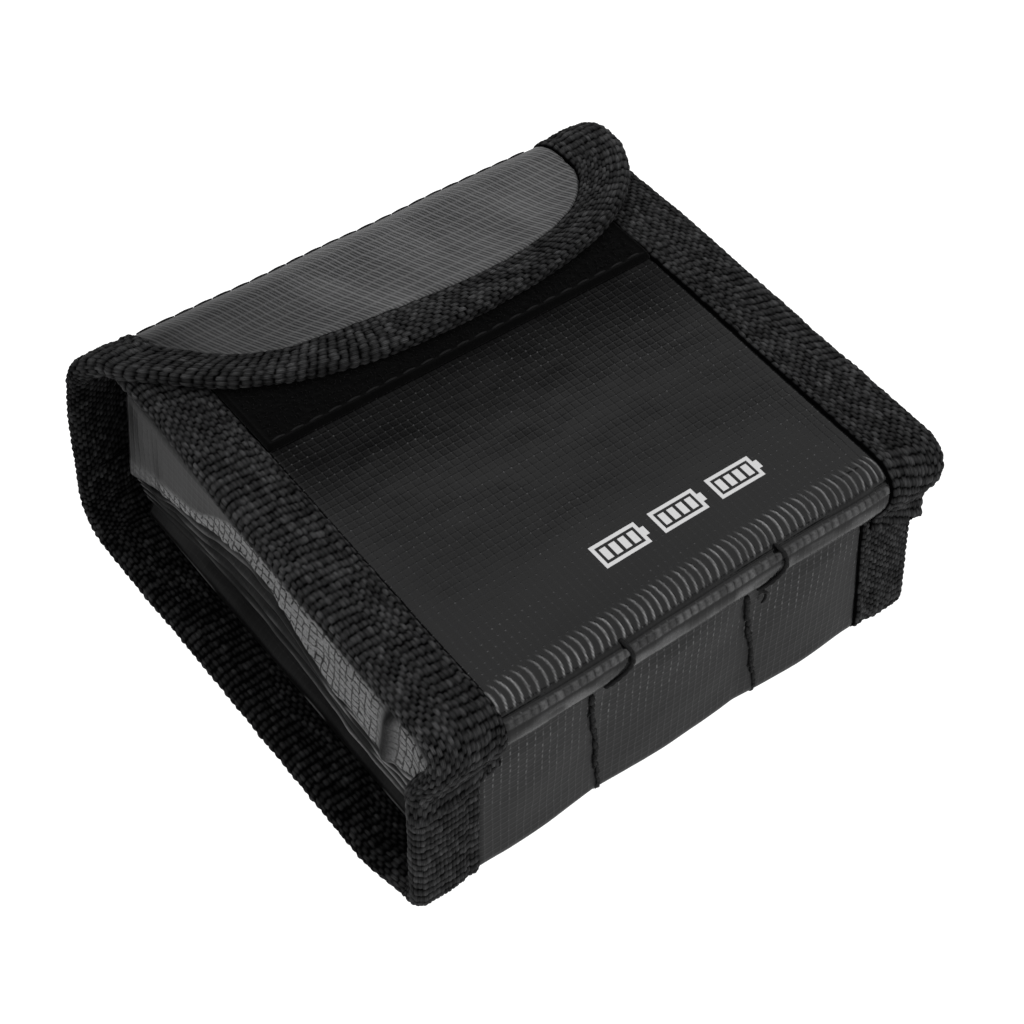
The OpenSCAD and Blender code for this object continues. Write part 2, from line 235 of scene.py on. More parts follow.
def y_to_s_flap(y):
    return M["hinge_b"] + 36.2111 - np.asarray(y, float)


# Edges of the web across X, by length along it
_edge_s = [0, M["front"], M["roll_end"], M["crease"], M["floor_bend"], M["floor_bend"] + 8, M["flap"]]
_edge_l = [FRONT_X[0], FRONT_X[0], FRONT_X[0], BOTTOM_X[0], BOTTOM_X[0], BACK_X[0], BACK_X[0]]
_edge_r = [FRONT_X[1], FRONT_X[1], FRONT_X[1] - 1.0, BOTTOM_X[1] - 3.2, BOTTOM_X[1], BACK_X[1], BACK_X[1]]


def edge_left(s):
    return np.interp(s, _edge_s, _edge_l)


def edge_right(s):
    return np.interp(s, _edge_s, _edge_r)


def web_wave(x, s):
    """Soft unevenness of the cloth between the bindings, outwards, mm."""
    x, s = np.broadcast_arrays(np.asarray(x, float), np.asarray(s, float))
    inner = smooth01((x - edge_left(s) - TAPE_W + 1) / 7) * smooth01((edge_right(s) - x - TAPE_W + 1) / 7)
    w = 0.30 * fbm(x / 26 + 4, s / 22, 11) + 0.10 * fbm(x / 9, s / 7 + 3, 17)
    # the front panel is a little hollow towards the mouth and full near the closed end
    y = MOUTH_Y - s
    front = (s < M["front"]).astype(float)
    w = w - front * (0.27 * fbm(x / 26 + 4, s / 22, 11) + 0.05 * fbm(x / 9, s / 7 + 3, 17))
    w = w + front * (-0.10 * gauss(y - 10, 14) + 0.30 * gauss(y + 30, 12))
    # roll: fuller in its middle
    w = w + 0.25 * gauss(s - (M["front"] + 5), 5)
    # bottom wall: shallow billows between the divider seams
    bot = smooth01((s - M["crease"]) / 4) * smooth01((M["floor_bend"] - s) / 4)
    bays = np.abs(np.sin(np.pi * (x + 15.5) / 28.0))
    w = w + bot * (0.55 * bays - 0.25)
    # flap: gentle waves running to the hinge
    flap = smooth01((s - M["lean"]) / 8)
    w = w + flap * (0.30 * np.sin(x / 9.5 + 1.0) * smooth01((s - M["hinge_b"]) / 6) + 0.18 * fbm(x / 12, s / 18, 23))
    back = smooth01((s - M["floor_bend"]) / 6) * smooth01((M["back"] - s) / 6)
    w = w * (1 - 0.75 * back) - 0.25 * back
    return w * inner


def roll_parts(x, s):
    """Ribs where the cloth bends onto the roll, the groove under them and the row of small facets.
    Gives the height in mm, and a mask for the coating whitened on the ribs together with painted highlights on the
    ribs, the facets and a satin band under the roll."""
    q = s - M["front"]
    amp = 0.75 + 0.5 * fbm(x / 14, s * 0 + 2, 71)
    u = x + 0.28 * (q - 1.0) ** 2 / 3.0 + 0.10 * noise2(x * 0.8, q * 0.6, 72)
    u = u + 0.22 * noise2(x * 0.5, q * 0.25, 76)
    ridge = np.abs(np.cos(np.pi * u / 1.37)) ** 22
    zone = smooth01((q + 1.6) / 1.2) * smooth01((3.6 - q) / 0.7)
    broken = 0.55 + 0.45 * smooth01(0.5 + 1.8 * noise2(np.floor(u / 1.37 + 0.5) * 0.9, q * 0.5, 73))
    ribs = ridge * zone * amp * broken
    groove = gauss(q - 4.15, 0.5) * (0.8 + 0.4 * noise2(x / 6, 0 * s, 74))
    facet = np.abs(np.sin(np.pi * x / 1.37)) ** 0.6 * smooth01((q - 4.5) / 0.3) * smooth01((6.0 - q) / 0.3)
    facet = facet * (0.5 + 0.5 * smooth01(0.5 + 1.5 * noise2(np.floor(x / 1.37) * 0.9, 0 * s, 75)))
    height = 0.14 * ribs - 0.46 * groove + 0.20 * facet
    # second mask: the coating whitened on the ribs, whose pale colour also stands in for their highlights, plus painted
    # highlights on the facets and a painted satin band under the roll
    satin_highlight = smooth01(0.5 + 1.2 * noise2(x * 0.35, q * 0.5, 77))
    wear_and_highlight = np.clip(1.0 * ribs + 0.34 * facet * (0.5 + 0.5 * broken) + 0.30 * satin_highlight * smooth01((q - 6.0) / 1.5) * smooth01((11.5 - q) / 2.5), 0, 1)
    return height, wear_and_highlight


def cloth_r(x, s):
    """Outward place of the cloth's outer face: flush between the bindings, tucked inside them at the edges."""
    el, er = edge_left(s), edge_right(s)
    tuck = smooth01((x - el - TAPE_W + 0.6) / 1.1) * smooth01((er - x - TAPE_W + 0.6) / 1.1)
    r = -0.75 * (1 - tuck) + web_wave(x, s)
    near = (s > M["front"] - 3) & (s < M["roll_end"] + 0.5)
    return r + np.where(near, roll_parts(x, s)[0] * tuck, 0)


def warp(V):
    """One soft unevenness for the whole pouch, so that joined pieces stay joined."""
    x, y, z = V[:, 0], V[:, 1], V[:, 2]
    out = V.copy()
    up = smooth01((z - 3) / 30)
    out[:, 0] += up * (0.35 * np.sin(y / 17 + 0.6) * smooth01((np.abs(x) - 25) / 20))
    out[:, 1] += 0.30 * np.sin(x / 15.0 + 0.5) * up * smooth01((-y - 25) / 15)
    # the floor edge of the closed end lifts a little in the middle
    out[:, 2] += 0.45 * gauss(y + 46, 6) * np.cos(np.clip(x / 50, -1, 1) * math.pi / 2) * (1 - smooth01(z / 20))
    return out


# ------------------------------------------------------------------ mesh helpers
def make(name, V, F, mat, uv=None, attrs=None, smooth=True, fix=True, warped=True):
    V = np.asarray(V, float)
    if warped:
        V = warp(V)
    me = bpy.data.meshes.new(name)
    me.from_pydata((V * MM).tolist(), [], F if isinstance(F, list) else F.tolist())
    if attrs:
        for k, a in attrs.items():
            at = me.attributes.new(k, "FLOAT", "POINT")
            at.data.foreach_set("value", np.asarray(a, np.float32).ravel())
    if uv is not None:
        layer = me.uv_layers.new(name="UVMap")
        idx = np.zeros(len(me.loops), np.int32)
        me.loops.foreach_get("vertex_index", idx)
        layer.uv.foreach_set("vector", np.asarray(uv, np.float32)[idx].ravel())
    if fix:
        bm = bmesh.new()
        bm.from_mesh(me)
        bmesh.ops.recalc_face_normals(bm, faces=bm.faces)
        bm.to_mesh(me)
        bm.free()
    me.validate()
    if smooth:
        me.polygons.foreach_set("use_smooth", np.ones(len(me.polygons), bool))
    me.materials.append(mat)
    o = bpy.data.objects.new(name, me)
    bpy.context.scene.collection.objects.link(o)
    return o


def grid_faces(n, m, off=0, wrap=False):
    """Quads of an n by m grid, wrapping the second way if asked."""
    i, j = np.meshgrid(np.arange(n - 1), np.arange(m if wrap else m - 1), indexing="ij")
    i, j = i.ravel(), j.ravel()
    k = (j + 1) % m
    return np.stack([i * m + j, i * m + k, (i + 1) * m + k, (i + 1) * m + j], 1) + off


def shell(outer, inner):
    """Closed shell from two grids of the same size (n, m, 3)."""
    n, m = outer.shape[:2]
    V = np.vstack([outer.reshape(-1, 3), inner.reshape(-1, 3)])
    N = n * m
    F = [grid_faces(n, m), grid_faces(n, m, N)[:, ::-1]]
    i = np.arange(n - 1)
    j = np.arange(m - 1)
    a = i * m
    F.append(np.stack([a, a + m, a + m + N, a + N], 1))
    a = i * m + m - 1
    F.append(np.stack([a, a + N, a + m + N, a + m], 1))
    a = j
    F.append(np.stack([a, a + N, a + 1 + N, a + 1], 1))
    a = (n - 1) * m + j
    F.append(np.stack([a, a + 1, a + 1 + N, a + N], 1))
    return V, np.vstack(F)


def normals_of(P):
    du = np.gradient(P, axis=0)
    dv = np.gradient(P, axis=1)
    return unit(np.cross(du, dv))


def join(parts):
    """(V, F) of several (V, F) parts."""
    V, F, off = [], [], 0
    for v, f in parts:
        V.append(v)
        F.append(np.asarray(f) + off)
        off += len(v)
    return np.vstack(V), np.vstack(F)


# ------------------------------------------------------------------ materials
class Mat:
    """A small helper that builds a node material from expressions."""

    def __init__(self, name):
        self.m = bpy.data.materials.new(name)
        self.m.use_nodes = True
        self.t = self.m.node_tree
        self.t.nodes.clear()
        self.out = self.t.nodes.new("ShaderNodeOutputMaterial")
        self.p = self.t.nodes.new("ShaderNodeBsdfPrincipled")
        self.t.links.new(self.p.outputs[0], self.out.inputs[0])
        self._uv = None

    def link(self, a, b):
        if hasattr(a, "is_output") or isinstance(a, bpy.types.NodeSocket):
            self.t.links.new(a, b)
        elif isinstance(a, (tuple, list)):
            b.default_value = tuple(a) + ((1,) if len(a) == 3 and len(b.default_value) == 4 else ())
        else:
            b.default_value = a

    def uv(self):
        if self._uv is None:
            n = self.t.nodes.new("ShaderNodeUVMap")
            n.uv_map = "UVMap"
            s = self.t.nodes.new("ShaderNodeSeparateXYZ")
            self.t.links.new(n.outputs[0], s.inputs[0])
            self._uv = (s.outputs[0], s.outputs[1], n.outputs[0])
        return self._uv

    def obj(self):
        return self.t.nodes.new("ShaderNodeTexCoord").outputs["Object"]

    def math(self, op, a, b=0.0, c=None, clamp=False):
        n = self.t.nodes.new("ShaderNodeMath")
        n.operation = op
        n.use_clamp = clamp
        self.link(a, n.inputs[0])
        if len(n.inputs) > 1:
            self.link(b, n.inputs[1])
        if c is not None:
            self.link(c, n.inputs[2])
        return n.outputs[0]

    def add(self, a, b):
        return self.math("ADD", a, b)

    def mul(self, a, b):
        return self.math("MULTIPLY", a, b)

    def vec(self, x, y, z=0.0):
        n = self.t.nodes.new("ShaderNodeCombineXYZ")
        self.link(x, n.inputs[0])
        self.link(y, n.inputs[1])
        self.link(z, n.inputs[2])
        return n.outputs[0]

    def noise(self, vec, scale, detail=2.0, rough=0.5, distortion=0.0):
        n = self.t.nodes.new("ShaderNodeTexNoise")
        self.link(vec, n.inputs["Vector"])
        n.inputs["Scale"].default_value = scale
        n.inputs["Detail"].default_value = detail
        n.inputs["Roughness"].default_value = rough
        n.inputs["Distortion"].default_value = distortion
        return n.outputs[0]

    def voronoi(self, vec, scale, feature="F1", out=0, rnd=1.0):
        n = self.t.nodes.new("ShaderNodeTexVoronoi")
        n.feature = feature
        self.link(vec, n.inputs["Vector"])
        n.inputs["Scale"].default_value = scale
        n.inputs["Randomness"].default_value = rnd
        return n.outputs[out]

    def remap(self, v, a, b, c=0.0, d=1.0):
        n = self.t.nodes.new("ShaderNodeMapRange")
        n.clamp = True
        self.link(v, n.inputs[0])
        for i, q in enumerate((a, b, c, d)):
            n.inputs[i + 1].default_value = q
        return n.outputs[0]

    def mix(self, f, a, b):
        n = self.t.nodes.new("ShaderNodeMix")
        n.data_type = "RGBA"
        self.link(f, n.inputs[0])
        self.link(a, n.inputs[6])
        self.link(b, n.inputs[7])
        return n.outputs[2]

    def mixf(self, f, a, b):
        n = self.t.nodes.new("ShaderNodeMix")
        self.link(f, n.inputs[0])
        self.link(a, n.inputs[2])
        self.link(b, n.inputs[3])
        return n.outputs[0]

    def attr(self, name):
        n = self.t.nodes.new("ShaderNodeAttribute")
        n.attribute_name = name
        return n.outputs["Fac"]

    def bump(self, h, strength=0.5, dist=0.0002):
        n = self.t.nodes.new("ShaderNodeBump")
        n.inputs["Strength"].default_value = strength
        n.inputs["Distance"].default_value = dist
        self.link(h, n.inputs["Height"])
        self.t.links.new(n.outputs[0], self.p.inputs["Normal"])
        return n

    def set(self, **k):
        names = {"color": "Base Color", "rough": "Roughness", "spec": "Specular IOR Level", "metal": "Metallic",
                 "sheen": "Sheen Weight", "sheen_rough": "Sheen Roughness", "coat": "Coat Weight",
                 "coat_rough": "Coat Roughness", "emit": "Emission Color", "emit_s": "Emission Strength"}
        for a, v in k.items():
            self.link(v, self.p.inputs[names[a]])
        return self.m


def line_wave(m, coord, period, sharp, phase=0.0):
    """Thin ridges at each period: |cos|^sharp."""
    a = m.math("MULTIPLY_ADD", coord, math.pi / period, phase)
    c = m.math("ABSOLUTE", m.math("COSINE", a))
    return m.math("POWER", c, sharp)


def cloth_material(name, base, lift, px, ps, rough, dot_gain, shade=None, skew=0.0, spec=0.5, bump=3e-5, lines=0.5,
                   roll=False, band=False, grid_tone=0.3, sharp=10.0, dash=None, swell=0.0, cross=1.0):
    """Coated ripstop: raised threads both ways, with dots where they cross."""
    m = Mat(name)
    x, s, _ = m.uv()
    big = m.noise(m.vec(m.mul(x, 0.045), m.mul(s, 0.045)), 1.0, 3.0)
    wob = m.noise(m.vec(m.mul(x, 0.16), m.mul(s, 0.16), 3.0), 1.0, 2.0)
    sh = m.mul(m.add(wob, -0.5), 0.7)
    lean_x = m.mul(m.math("MAXIMUM", m.add(s, -M["hinge_a"]), 0.0), skew)
    if swell:
        past = m.math("MAXIMUM", m.add(s, -M["hinge_b"]), 0.0)
        lean_x = m.add(lean_x, m.mul(m.mul(past, past), -0.012))
    xx = m.add(m.add(x, lean_x), sh)
    ss = m.add(s, m.mul(sh, 0.8))
    lx = line_wave(m, xx, px, sharp)
    if swell:
        lx = m.math("MAXIMUM", lx, m.mul(line_wave(m, xx, px / 2, sharp * 0.7), 0.62))
    ls = line_wave(m, ss, ps, sharp)
    dots = m.mul(line_wave(m, xx, px, 26.0), line_wave(m, ss, ps, 26.0))
    fine = m.noise(m.vec(m.mul(x, 2.6), m.mul(s, 2.6), 1.0), 1.0, 3.0, 0.6)
    rowvar = m.noise(m.vec(m.mul(x, 0.05), m.mul(s, 0.42), 8.0), 1.0, 1.0)
    cell = m.noise(m.vec(m.mul(x, 0.55), m.mul(s, 0.55), 6.0), 1.0, 2.0, 0.7)
    dmask = m.mul(m.remap(rowvar, 0.40, 0.66, 0.15, 1.0), m.remap(cell, 0.38, 0.62, 0.1, 1.0))
    h = m.mul(m.math("MAXIMUM", lx, m.mul(ls, 0.9 * cross)), lines)
    h = m.add(h, m.mul(dots, m.math("MULTIPLY_ADD", dmask, 1.3, 0.2)))
    h = m.add(h, m.mul(fine, 0.10))
    edge = None
    if roll:
        # the coating whitens on the ribs where it is bent round the closed end; this pale colour also paints the ribs'
        # highlights, and paints highlights on the facets and a satin band under the roll
        edge = m.attr("wear_and_highlight")
    streak = None
    if dash is not None:
        # short raised lengths of the upright threads, thickest under the crease
        up_ = m.mul(line_wave(m, xx, px, 34.0), m.remap(line_wave(m, m.add(ss, 0.3), ps, 1.0), 0.50, 0.80))
        rnd = m.noise(m.vec(m.mul(x, 0.95), m.mul(s, 1.1), 4.0), 1.0, 3.0, 0.8)
        zone = m.mul(m.remap(s, dash[0], dash[0] + 1.5), m.remap(s, dash[0] + 14.0, dash[0] + 7.0, 0.10, 1.0))
        streak = m.mul(m.mul(up_, m.remap(rnd, 0.46, 0.58)), zone)
        h = m.add(h, m.mul(streak, 1.6))
    if band:
        # crackled coating on the outer fold; the edges of the thin folds get painted highlights in the colour below
        bz = m.attr("band")
        jx = m.mul(m.add(m.noise(m.vec(m.mul(x, 1.3), m.mul(s, 1.3), 7.0), 1.0, 2.0, 0.7), -0.5), 0.9)
        jy = m.mul(m.add(m.noise(m.vec(m.mul(x, 1.3), m.mul(s, 1.3), 17.0), 1.0, 2.0, 0.7), -0.5), 0.9)
        gapx = m.mul(line_wave(m, m.add(x, jx), 1.55, 26.0), m.remap(m.noise(m.vec(m.mul(x, 0.7), m.mul(s, 0.7), 27.0), 1.0, 1.0), 0.36, 0.5))
        gapy = m.mul(line_wave(m, m.add(s, jy), 1.35, 22.0), m.remap(m.noise(m.vec(m.mul(x, 0.5), m.mul(s, 0.9), 37.0), 1.0, 1.0), 0.34, 0.46))
        crack = m.mul(m.remap(m.math("MAXIMUM", gapx, gapy), 0.15, 0.45), bz)
        h = m.add(h, m.mul(crack, -4.0))
    tone = m.add(m.mul(m.math("MAXIMUM", lx, m.mul(ls, cross)), grid_tone), m.mul(fine, 0.25))
    col = m.mix(m.remap(tone, 0.05, 0.55), base, lift)
    # painted shade: near the mouth, under the flap, the front panel's colour is painted darker and its reflection
    # turned down
    if shade is not None:
        mouth_shade = shade(m, x, s)
        col = m.mix(mouth_shade, (base[0] * 0.22, base[1] * 0.22, base[2] * 0.23), col)
        spec = m.math("MULTIPLY_ADD", mouth_shade, spec * 0.60, spec * 0.40)
    # paler dots where the threads cross: painted highlights of the raised crossings
    light = tuple(min(1.0, c * 6 + 0.10) for c in lift)
    col = m.mix(m.mul(m.mul(dots, dmask), dot_gain), col, light)
    if edge is not None:
        col = m.mix(m.mul(edge, m.remap(fine, 0.25, 0.6, 0.45, 1.0)), col, (0.66, 0.66, 0.665))
    if streak is not None:
        col = m.mix(m.mul(streak, 0.8), col, (0.40, 0.40, 0.405))
    if swell:
        # painted sheen: broad light patches on the flap, and a painted highlight along the top of the hinge bend
        sw = m.noise(m.vec(m.mul(xx, 0.13), m.mul(s, 0.06), 12.0), 1.0, 3.0, 0.55)
        sheen = m.math("MAXIMUM", m.remap(sw, 0.42, 0.64), m.remap(s, M["hinge_b"] + 2.5, M["hinge_a"] + 1.0, 0.0, 0.7))
        col = m.mix(m.mul(sheen, m.math("MULTIPLY_ADD", lx, 0.45, swell)), col, (0.38, 0.38, 0.385))
        # painted shade: the flap's tone fades darker towards its left end
        col = m.mix(m.remap(x, -44.0, -6.0, 0.86, 0.0), col, (0.011, 0.011, 0.0115))
        # below its top bend the closing wall is as dark as the back; above it the cloth keeps the flap's painted
        # lighter tone
        low = m.mix(m.remap(tone, 0.05, 0.55), (0.012, 0.012, 0.0125), (0.024, 0.024, 0.025))
        col = m.mix(m.remap(s, M["wall_bend"] + 9.0, M["hinge_a"]), low, col)
    r = m.math("SUBTRACT", m.math("MULTIPLY_ADD", big, 0.16, rough - 0.08), m.mul(dots, 0.08))
    if band:
        # painted shade deep in the pleats and in the notch, the crackled band painted pale partly as a highlight on the
        # outer fold, and painted highlights along the edges of the thin folds
        col = m.mix(m.attr("deep_shade"), col, (0.0016, 0.0016, 0.0017))
        col = m.mix(m.mul(bz, m.remap(fine, 0.3, 0.7, 0.40, 1.0)), col, (0.42, 0.42, 0.425))
        col = m.mix(crack, col, (0.0015, 0.0015, 0.0015))
        col = m.mix(m.mul(m.attr("rim_highlight"), m.remap(fine, 0.25, 0.6, 0.4, 1.0)), col, (0.62, 0.62, 0.625))
        spec = m.math("MULTIPLY", m.math("MULTIPLY_ADD", m.attr("deep_shade"), -0.8, 1.0), spec)
        r = m.math("SUBTRACT", r, m.mul(bz, 0.10))
        r = m.math("MULTIPLY_ADD", m.attr("deep_shade"), 0.16, r)
    m.bump(h, 1.0, bump)
    return m.set(color=col, rough=r, spec=spec)


def tape_material(name, low, high, rough=0.72, spec=0.3):
    """Woven polypropylene tape: the ribs and columns are modelled, and this adds the yarns' filaments and tone; the
    tone carries painted highlights on the bead tops and painted shade where the tape is dimmed, and glints are painted
    on as well.
    """
    m = Mat(name)
    x, s, _ = m.uv()
    h = m.attr("weave")
    fil = m.noise(m.vec(m.mul(x, 9.0), m.mul(s, 1.1)), 1.0, 2.0, 0.6)
    strand = line_wave(m, x, COL / 3, 0.7)
    f = m.mul(m.remap(h, 0.22, 1.15), m.math("MULTIPLY_ADD", strand, 0.45, 0.55))
    f = m.mul(f, m.remap(fil, 0.28, 0.72, 0.25, 1.0))
    col = m.mix(f, low, high)
    glint = m.mul(m.remap(fil, 0.62, 0.74), m.remap(h, 0.7, 1.1))
    col = m.mix(m.mul(glint, 0.5), col, (0.42, 0.42, 0.43))
    m.bump(m.add(m.mul(fil, 1.0), m.mul(strand, 0.8)), 0.9, 0.00007)
    return m.set(color=col, rough=m.math("MULTIPLY_ADD", fil, 0.2, rough - 0.1), spec=m.math("MULTIPLY", m.remap(h, 0.2, 0.9), spec), sheen=0.03, sheen_rough=0.4)


def ramp_y(y0, y1, a=0.0, b=1.0):
    """Painted shade along the front panel: darker towards the mouth, under the flap, and full tone towards the closed
    end.
    """

    def f(m, x, s):
        t = m.remap(s, MOUTH_Y - y0, MOUTH_Y - y1, a, b)
        n = m.noise(m.vec(m.mul(x, 0.03), m.mul(s, 0.05), 2.0), 1.0, 2.0)
        return m.math("ADD", t, m.math("MULTIPLY_ADD", n, 0.5, -0.25), clamp=True)

    return f


M_FRONT = cloth_material("front_cloth", (0.0062, 0.0062, 0.0066), (0.012, 0.012, 0.0128), 1.37, 1.27, 0.19, 1.1,
                         shade=ramp_y(14, -4, 0.0, 1.0), spec=0.5, bump=2.8e-5, roll=True, sharp=14.0, cross=0.35)
# the flap cloth is the back's cloth painted lighter, its paler base and lines standing in for the light the flap's top
# catches
M_FLAP = cloth_material("flap_cloth", (0.027, 0.027, 0.0282), (0.27, 0.27, 0.275), 1.27, 1.83, 0.33, 0.1, skew=-0.36, spec=0.5,
                        bump=3.6e-5, lines=0.9, grid_tone=0.62, sharp=15.0, swell=0.16, cross=0.36)
M_BACK = cloth_material("back_cloth", (0.012, 0.012, 0.0125), (0.026, 0.026, 0.027), 1.37, 1.33, 0.38, 0.2, spec=0.42, bump=4e-5, sharp=14.0)
M_BOTTOM = cloth_material("bottom_cloth", (0.010, 0.010, 0.0105), (0.030, 0.030, 0.031), 1.41, 1.33, 0.36, 0.35, spec=0.42, bump=4.5e-5,
                          sharp=14.0, dash=(M["crease"] + 0.2, M["floor_bend"] - 2))
M_GUSSET = cloth_material("gusset_cloth", (0.010, 0.010, 0.0104), (0.024, 0.024, 0.0247), 1.40, 1.33, 0.34, 0.2, spec=0.55, bump=4e-5, band=True)
M_TAPE = tape_material("binding_tape", (0.0030, 0.0030, 0.0032), (0.235, 0.235, 0.240))


def lining_material():
    m = Mat("glass_fibre_lining")
    x, s, _ = m.uv()
    a = line_wave(m, x, 0.9, 1.5)
    b = line_wave(m, s, 0.9, 1.5)
    w = m.math("MAXIMUM", a, b)
    n = m.noise(m.vec(x, s), 3.0, 3.0)
    col = m.mix(m.mul(w, n), (0.030, 0.030, 0.032), (0.085, 0.085, 0.088))
    m.bump(m.add(w, n), 0.4, 0.0002)
    return m.set(color=col, rough=0.62, spec=0.4)


def thread_material():
    m = Mat("thread")
    x, s, _ = m.uv()
    tw = line_wave(m, m.add(s, m.mul(x, 0.7)), 0.28, 2.0)
    col = m.mix(tw, (0.002, 0.002, 0.0022), (0.014, 0.014, 0.015))
    m.bump(tw, 0.5, 0.00008)
    return m.set(color=col, rough=0.55, spec=0.4)


def pile_material(name, a, b, rough=0.9, scale=1800.0):
    m = Mat(name)
    o = m.obj()
    n = m.noise(o, scale, 3.0, 0.7)
    n2 = m.noise(o, 260.0, 2.0)
    col = m.mix(m.mul(m.remap(n, 0.35, 0.75), m.remap(n2, 0.2, 0.8)), a, b)
    m.bump(n, 0.6, 0.0002)
    return m.set(color=col, rough=rough, spec=0.1, sheen=0.08, sheen_rough=0.5)


def print_material():
    m = Mat("print")
    o = m.obj()
    n = m.noise(o, 2600.0, 2.0, 0.6)
    col = m.mix(m.remap(n, 0.3, 0.7), (0.93, 0.93, 0.94), (1.0, 1.0, 1.0))
    m.bump(n, 0.25, 0.0001)
    # the print is given a faint glow (emission) that paints it brighter than its light would
    return m.set(color=col, rough=0.6, spec=0.3, emit=(1, 1, 1), emit_s=0.22)


M_LINING = lining_material()
M_THREAD = thread_material()
M_PILE = pile_material("loop_pile", (0.0006, 0.0006, 0.0007), (0.004, 0.004, 0.0042))
M_HOOK = pile_material("hook_tape", (0.006, 0.006, 0.0065), (0.02, 0.02, 0.021), 0.5)
M_PRINT = print_material()


# ------------------------------------------------------------------ cloth sheets
def sheet(name, mat, s0, s1, nx, ns, r_off=0.0, t=0.5, inset=5.5, y_end=None, plain=False, wear_and_highlight=False):
    """A stretch of the web between its bindings, as a closed thin shell."""
    v = np.linspace(0, 1, ns)
    if wear_and_highlight:
        # close rows round the roll
        a, b = (M["front"] - 2.2 - s0) / (s1 - s0), (M["front"] + 6.6 - s0) / (s1 - s0)
        v = np.concatenate([np.linspace(0, a, ns // 2, endpoint=False), np.linspace(a, b, 47, endpoint=False), np.linspace(b, 1, 16)])
    u = np.linspace(0, 1, nx)
    U, Vv = np.meshgrid(u, v)
    if y_end is None:
        S = s0 + (s1 - s0) * Vv
        x0, x1 = edge_left(S) + inset, edge_right(S) - inset
        X = x0 + (x1 - x0) * U
    else:
        x0, x1 = y_end[0], y_end[1]
        X = x0 + (x1 - x0) * U
        S = s0 + (y_to_s_flap(y_end[2](X)) - s0) * Vv
    y, z, ny, nz = web.at(S)
    r = (cloth_r(X, S) if y_end is None else flap_r(X, S, y_end[2])) + r_off
    if plain:
        r = np.full_like(S, r_off) + web_wave(X, S) * 0.8
        if y_end is not None:
            r = r_off - 0.12 + flap_drop(y) * smooth01((S - M["hinge_b"] + 3) / 3)

    def lay(rr):
        return np.stack([X, y + ny * rr, z + nz * rr], -1)

    outer, inner = lay(r), lay(r - t)
    V, F = shell(outer, inner)
    uv = np.stack([X, S], -1).reshape(-1, 2)
    at = {"wear_and_highlight": np.tile(roll_parts(X, S)[1].ravel(), 2)} if wear_and_highlight else None
    return make(name, V, F, mat, np.vstack([uv, uv]), at)


# Flap outline, from the left side round to the right: outer edge of the tape, and its inner edge
FLAP_OUT = catmull([(-46.8, 36.2), (-44.8, 34.0), (-42.2, 31.8), (-39.5, 29.5), (-36.4, 27.0), (-32.6, 24.3), (-27.0, 21.6),
                    (-19.5, 18.9), (-9, 16.8), (3, 16.0), (14, 16.2), (25, 17.1), (34.5, 19.2), (41.6, 22.6), (46.4, 26.8),
                    (49.3, 31.8), (50, 36.2)], 40)
FLAP_IN = catmull([(-38.6, 36.2), (-37.0, 34.5), (-35.0, 32.4), (-32.6, 30.2), (-30.0, 28.3), (-27.0, 26.7), (-23, 25.2),
                   (-16, 24.0), (-8, 23.1), (1, 22.2), (11, 21.6), (20, 21.9), (28, 23.3), (33.8, 25.7), (37.2, 28.8),
                   (38.8, 32.2), (39, 36.2)], 40)


def flap_mid(x):
    mid = FLAP_OUT * 0.5 + FLAP_IN * 0.5
    o = np.argsort(mid[:, 0])
    return np.interp(x, mid[o, 0], mid[o, 1])


def flap_in_y(x):
    o = np.argsort(FLAP_IN[:, 0])
    return np.interp(x, FLAP_IN[o, 0], FLAP_IN[o, 1], left=60, right=60)


def flap_r(X, S, _):
    """Cloth of the flap: flush inside its binding, tucked under it."""
    y = web.at(S)[0]
    on_flap = smooth01((S - M["hinge_b"] + 3) / 3)
    d_front = (y - flap_in_y(X)) * 1.0
    tuck_f = np.where(on_flap > 0, smooth01((d_front + 0.6) / 1.1), 1)
    el, er = edge_left(S), edge_right(S)
    tuck_s = smooth01((X - el - TAPE_W + 0.6) / 1.1) * smooth01((er - X - TAPE_W + 0.6) / 1.1)
    tuck = np.where(S > M["hinge_b"] - 1.0, np.minimum(tuck_f, tuck_s), tuck_s)
    wave = web_wave(X, S) * np.where(S > M["hinge_b"], smooth01((d_front + 1) / 7), 1)
    return -0.75 * (1 - tuck) + wave + flap_drop(y) * on_flap


def flap_drop(y):
    """The flap's free edge bends down a little."""
    y = np.asarray(y, float)
    return -0.045 * np.clip(36 - y, 0, None) * smooth01((36 - y) / 8) - 0.5 * smooth01((25 - y) / 10)


# ------------------------------------------------------------------ woven tape
def hash2(a, b, seed=0):
    """A steady random number, 0 to 1, for each pair of whole numbers."""
    v = np.sin(a * 12.9898 + b * 78.233 + seed * 3.17) * 43758.5453
    return v - np.floor(v)


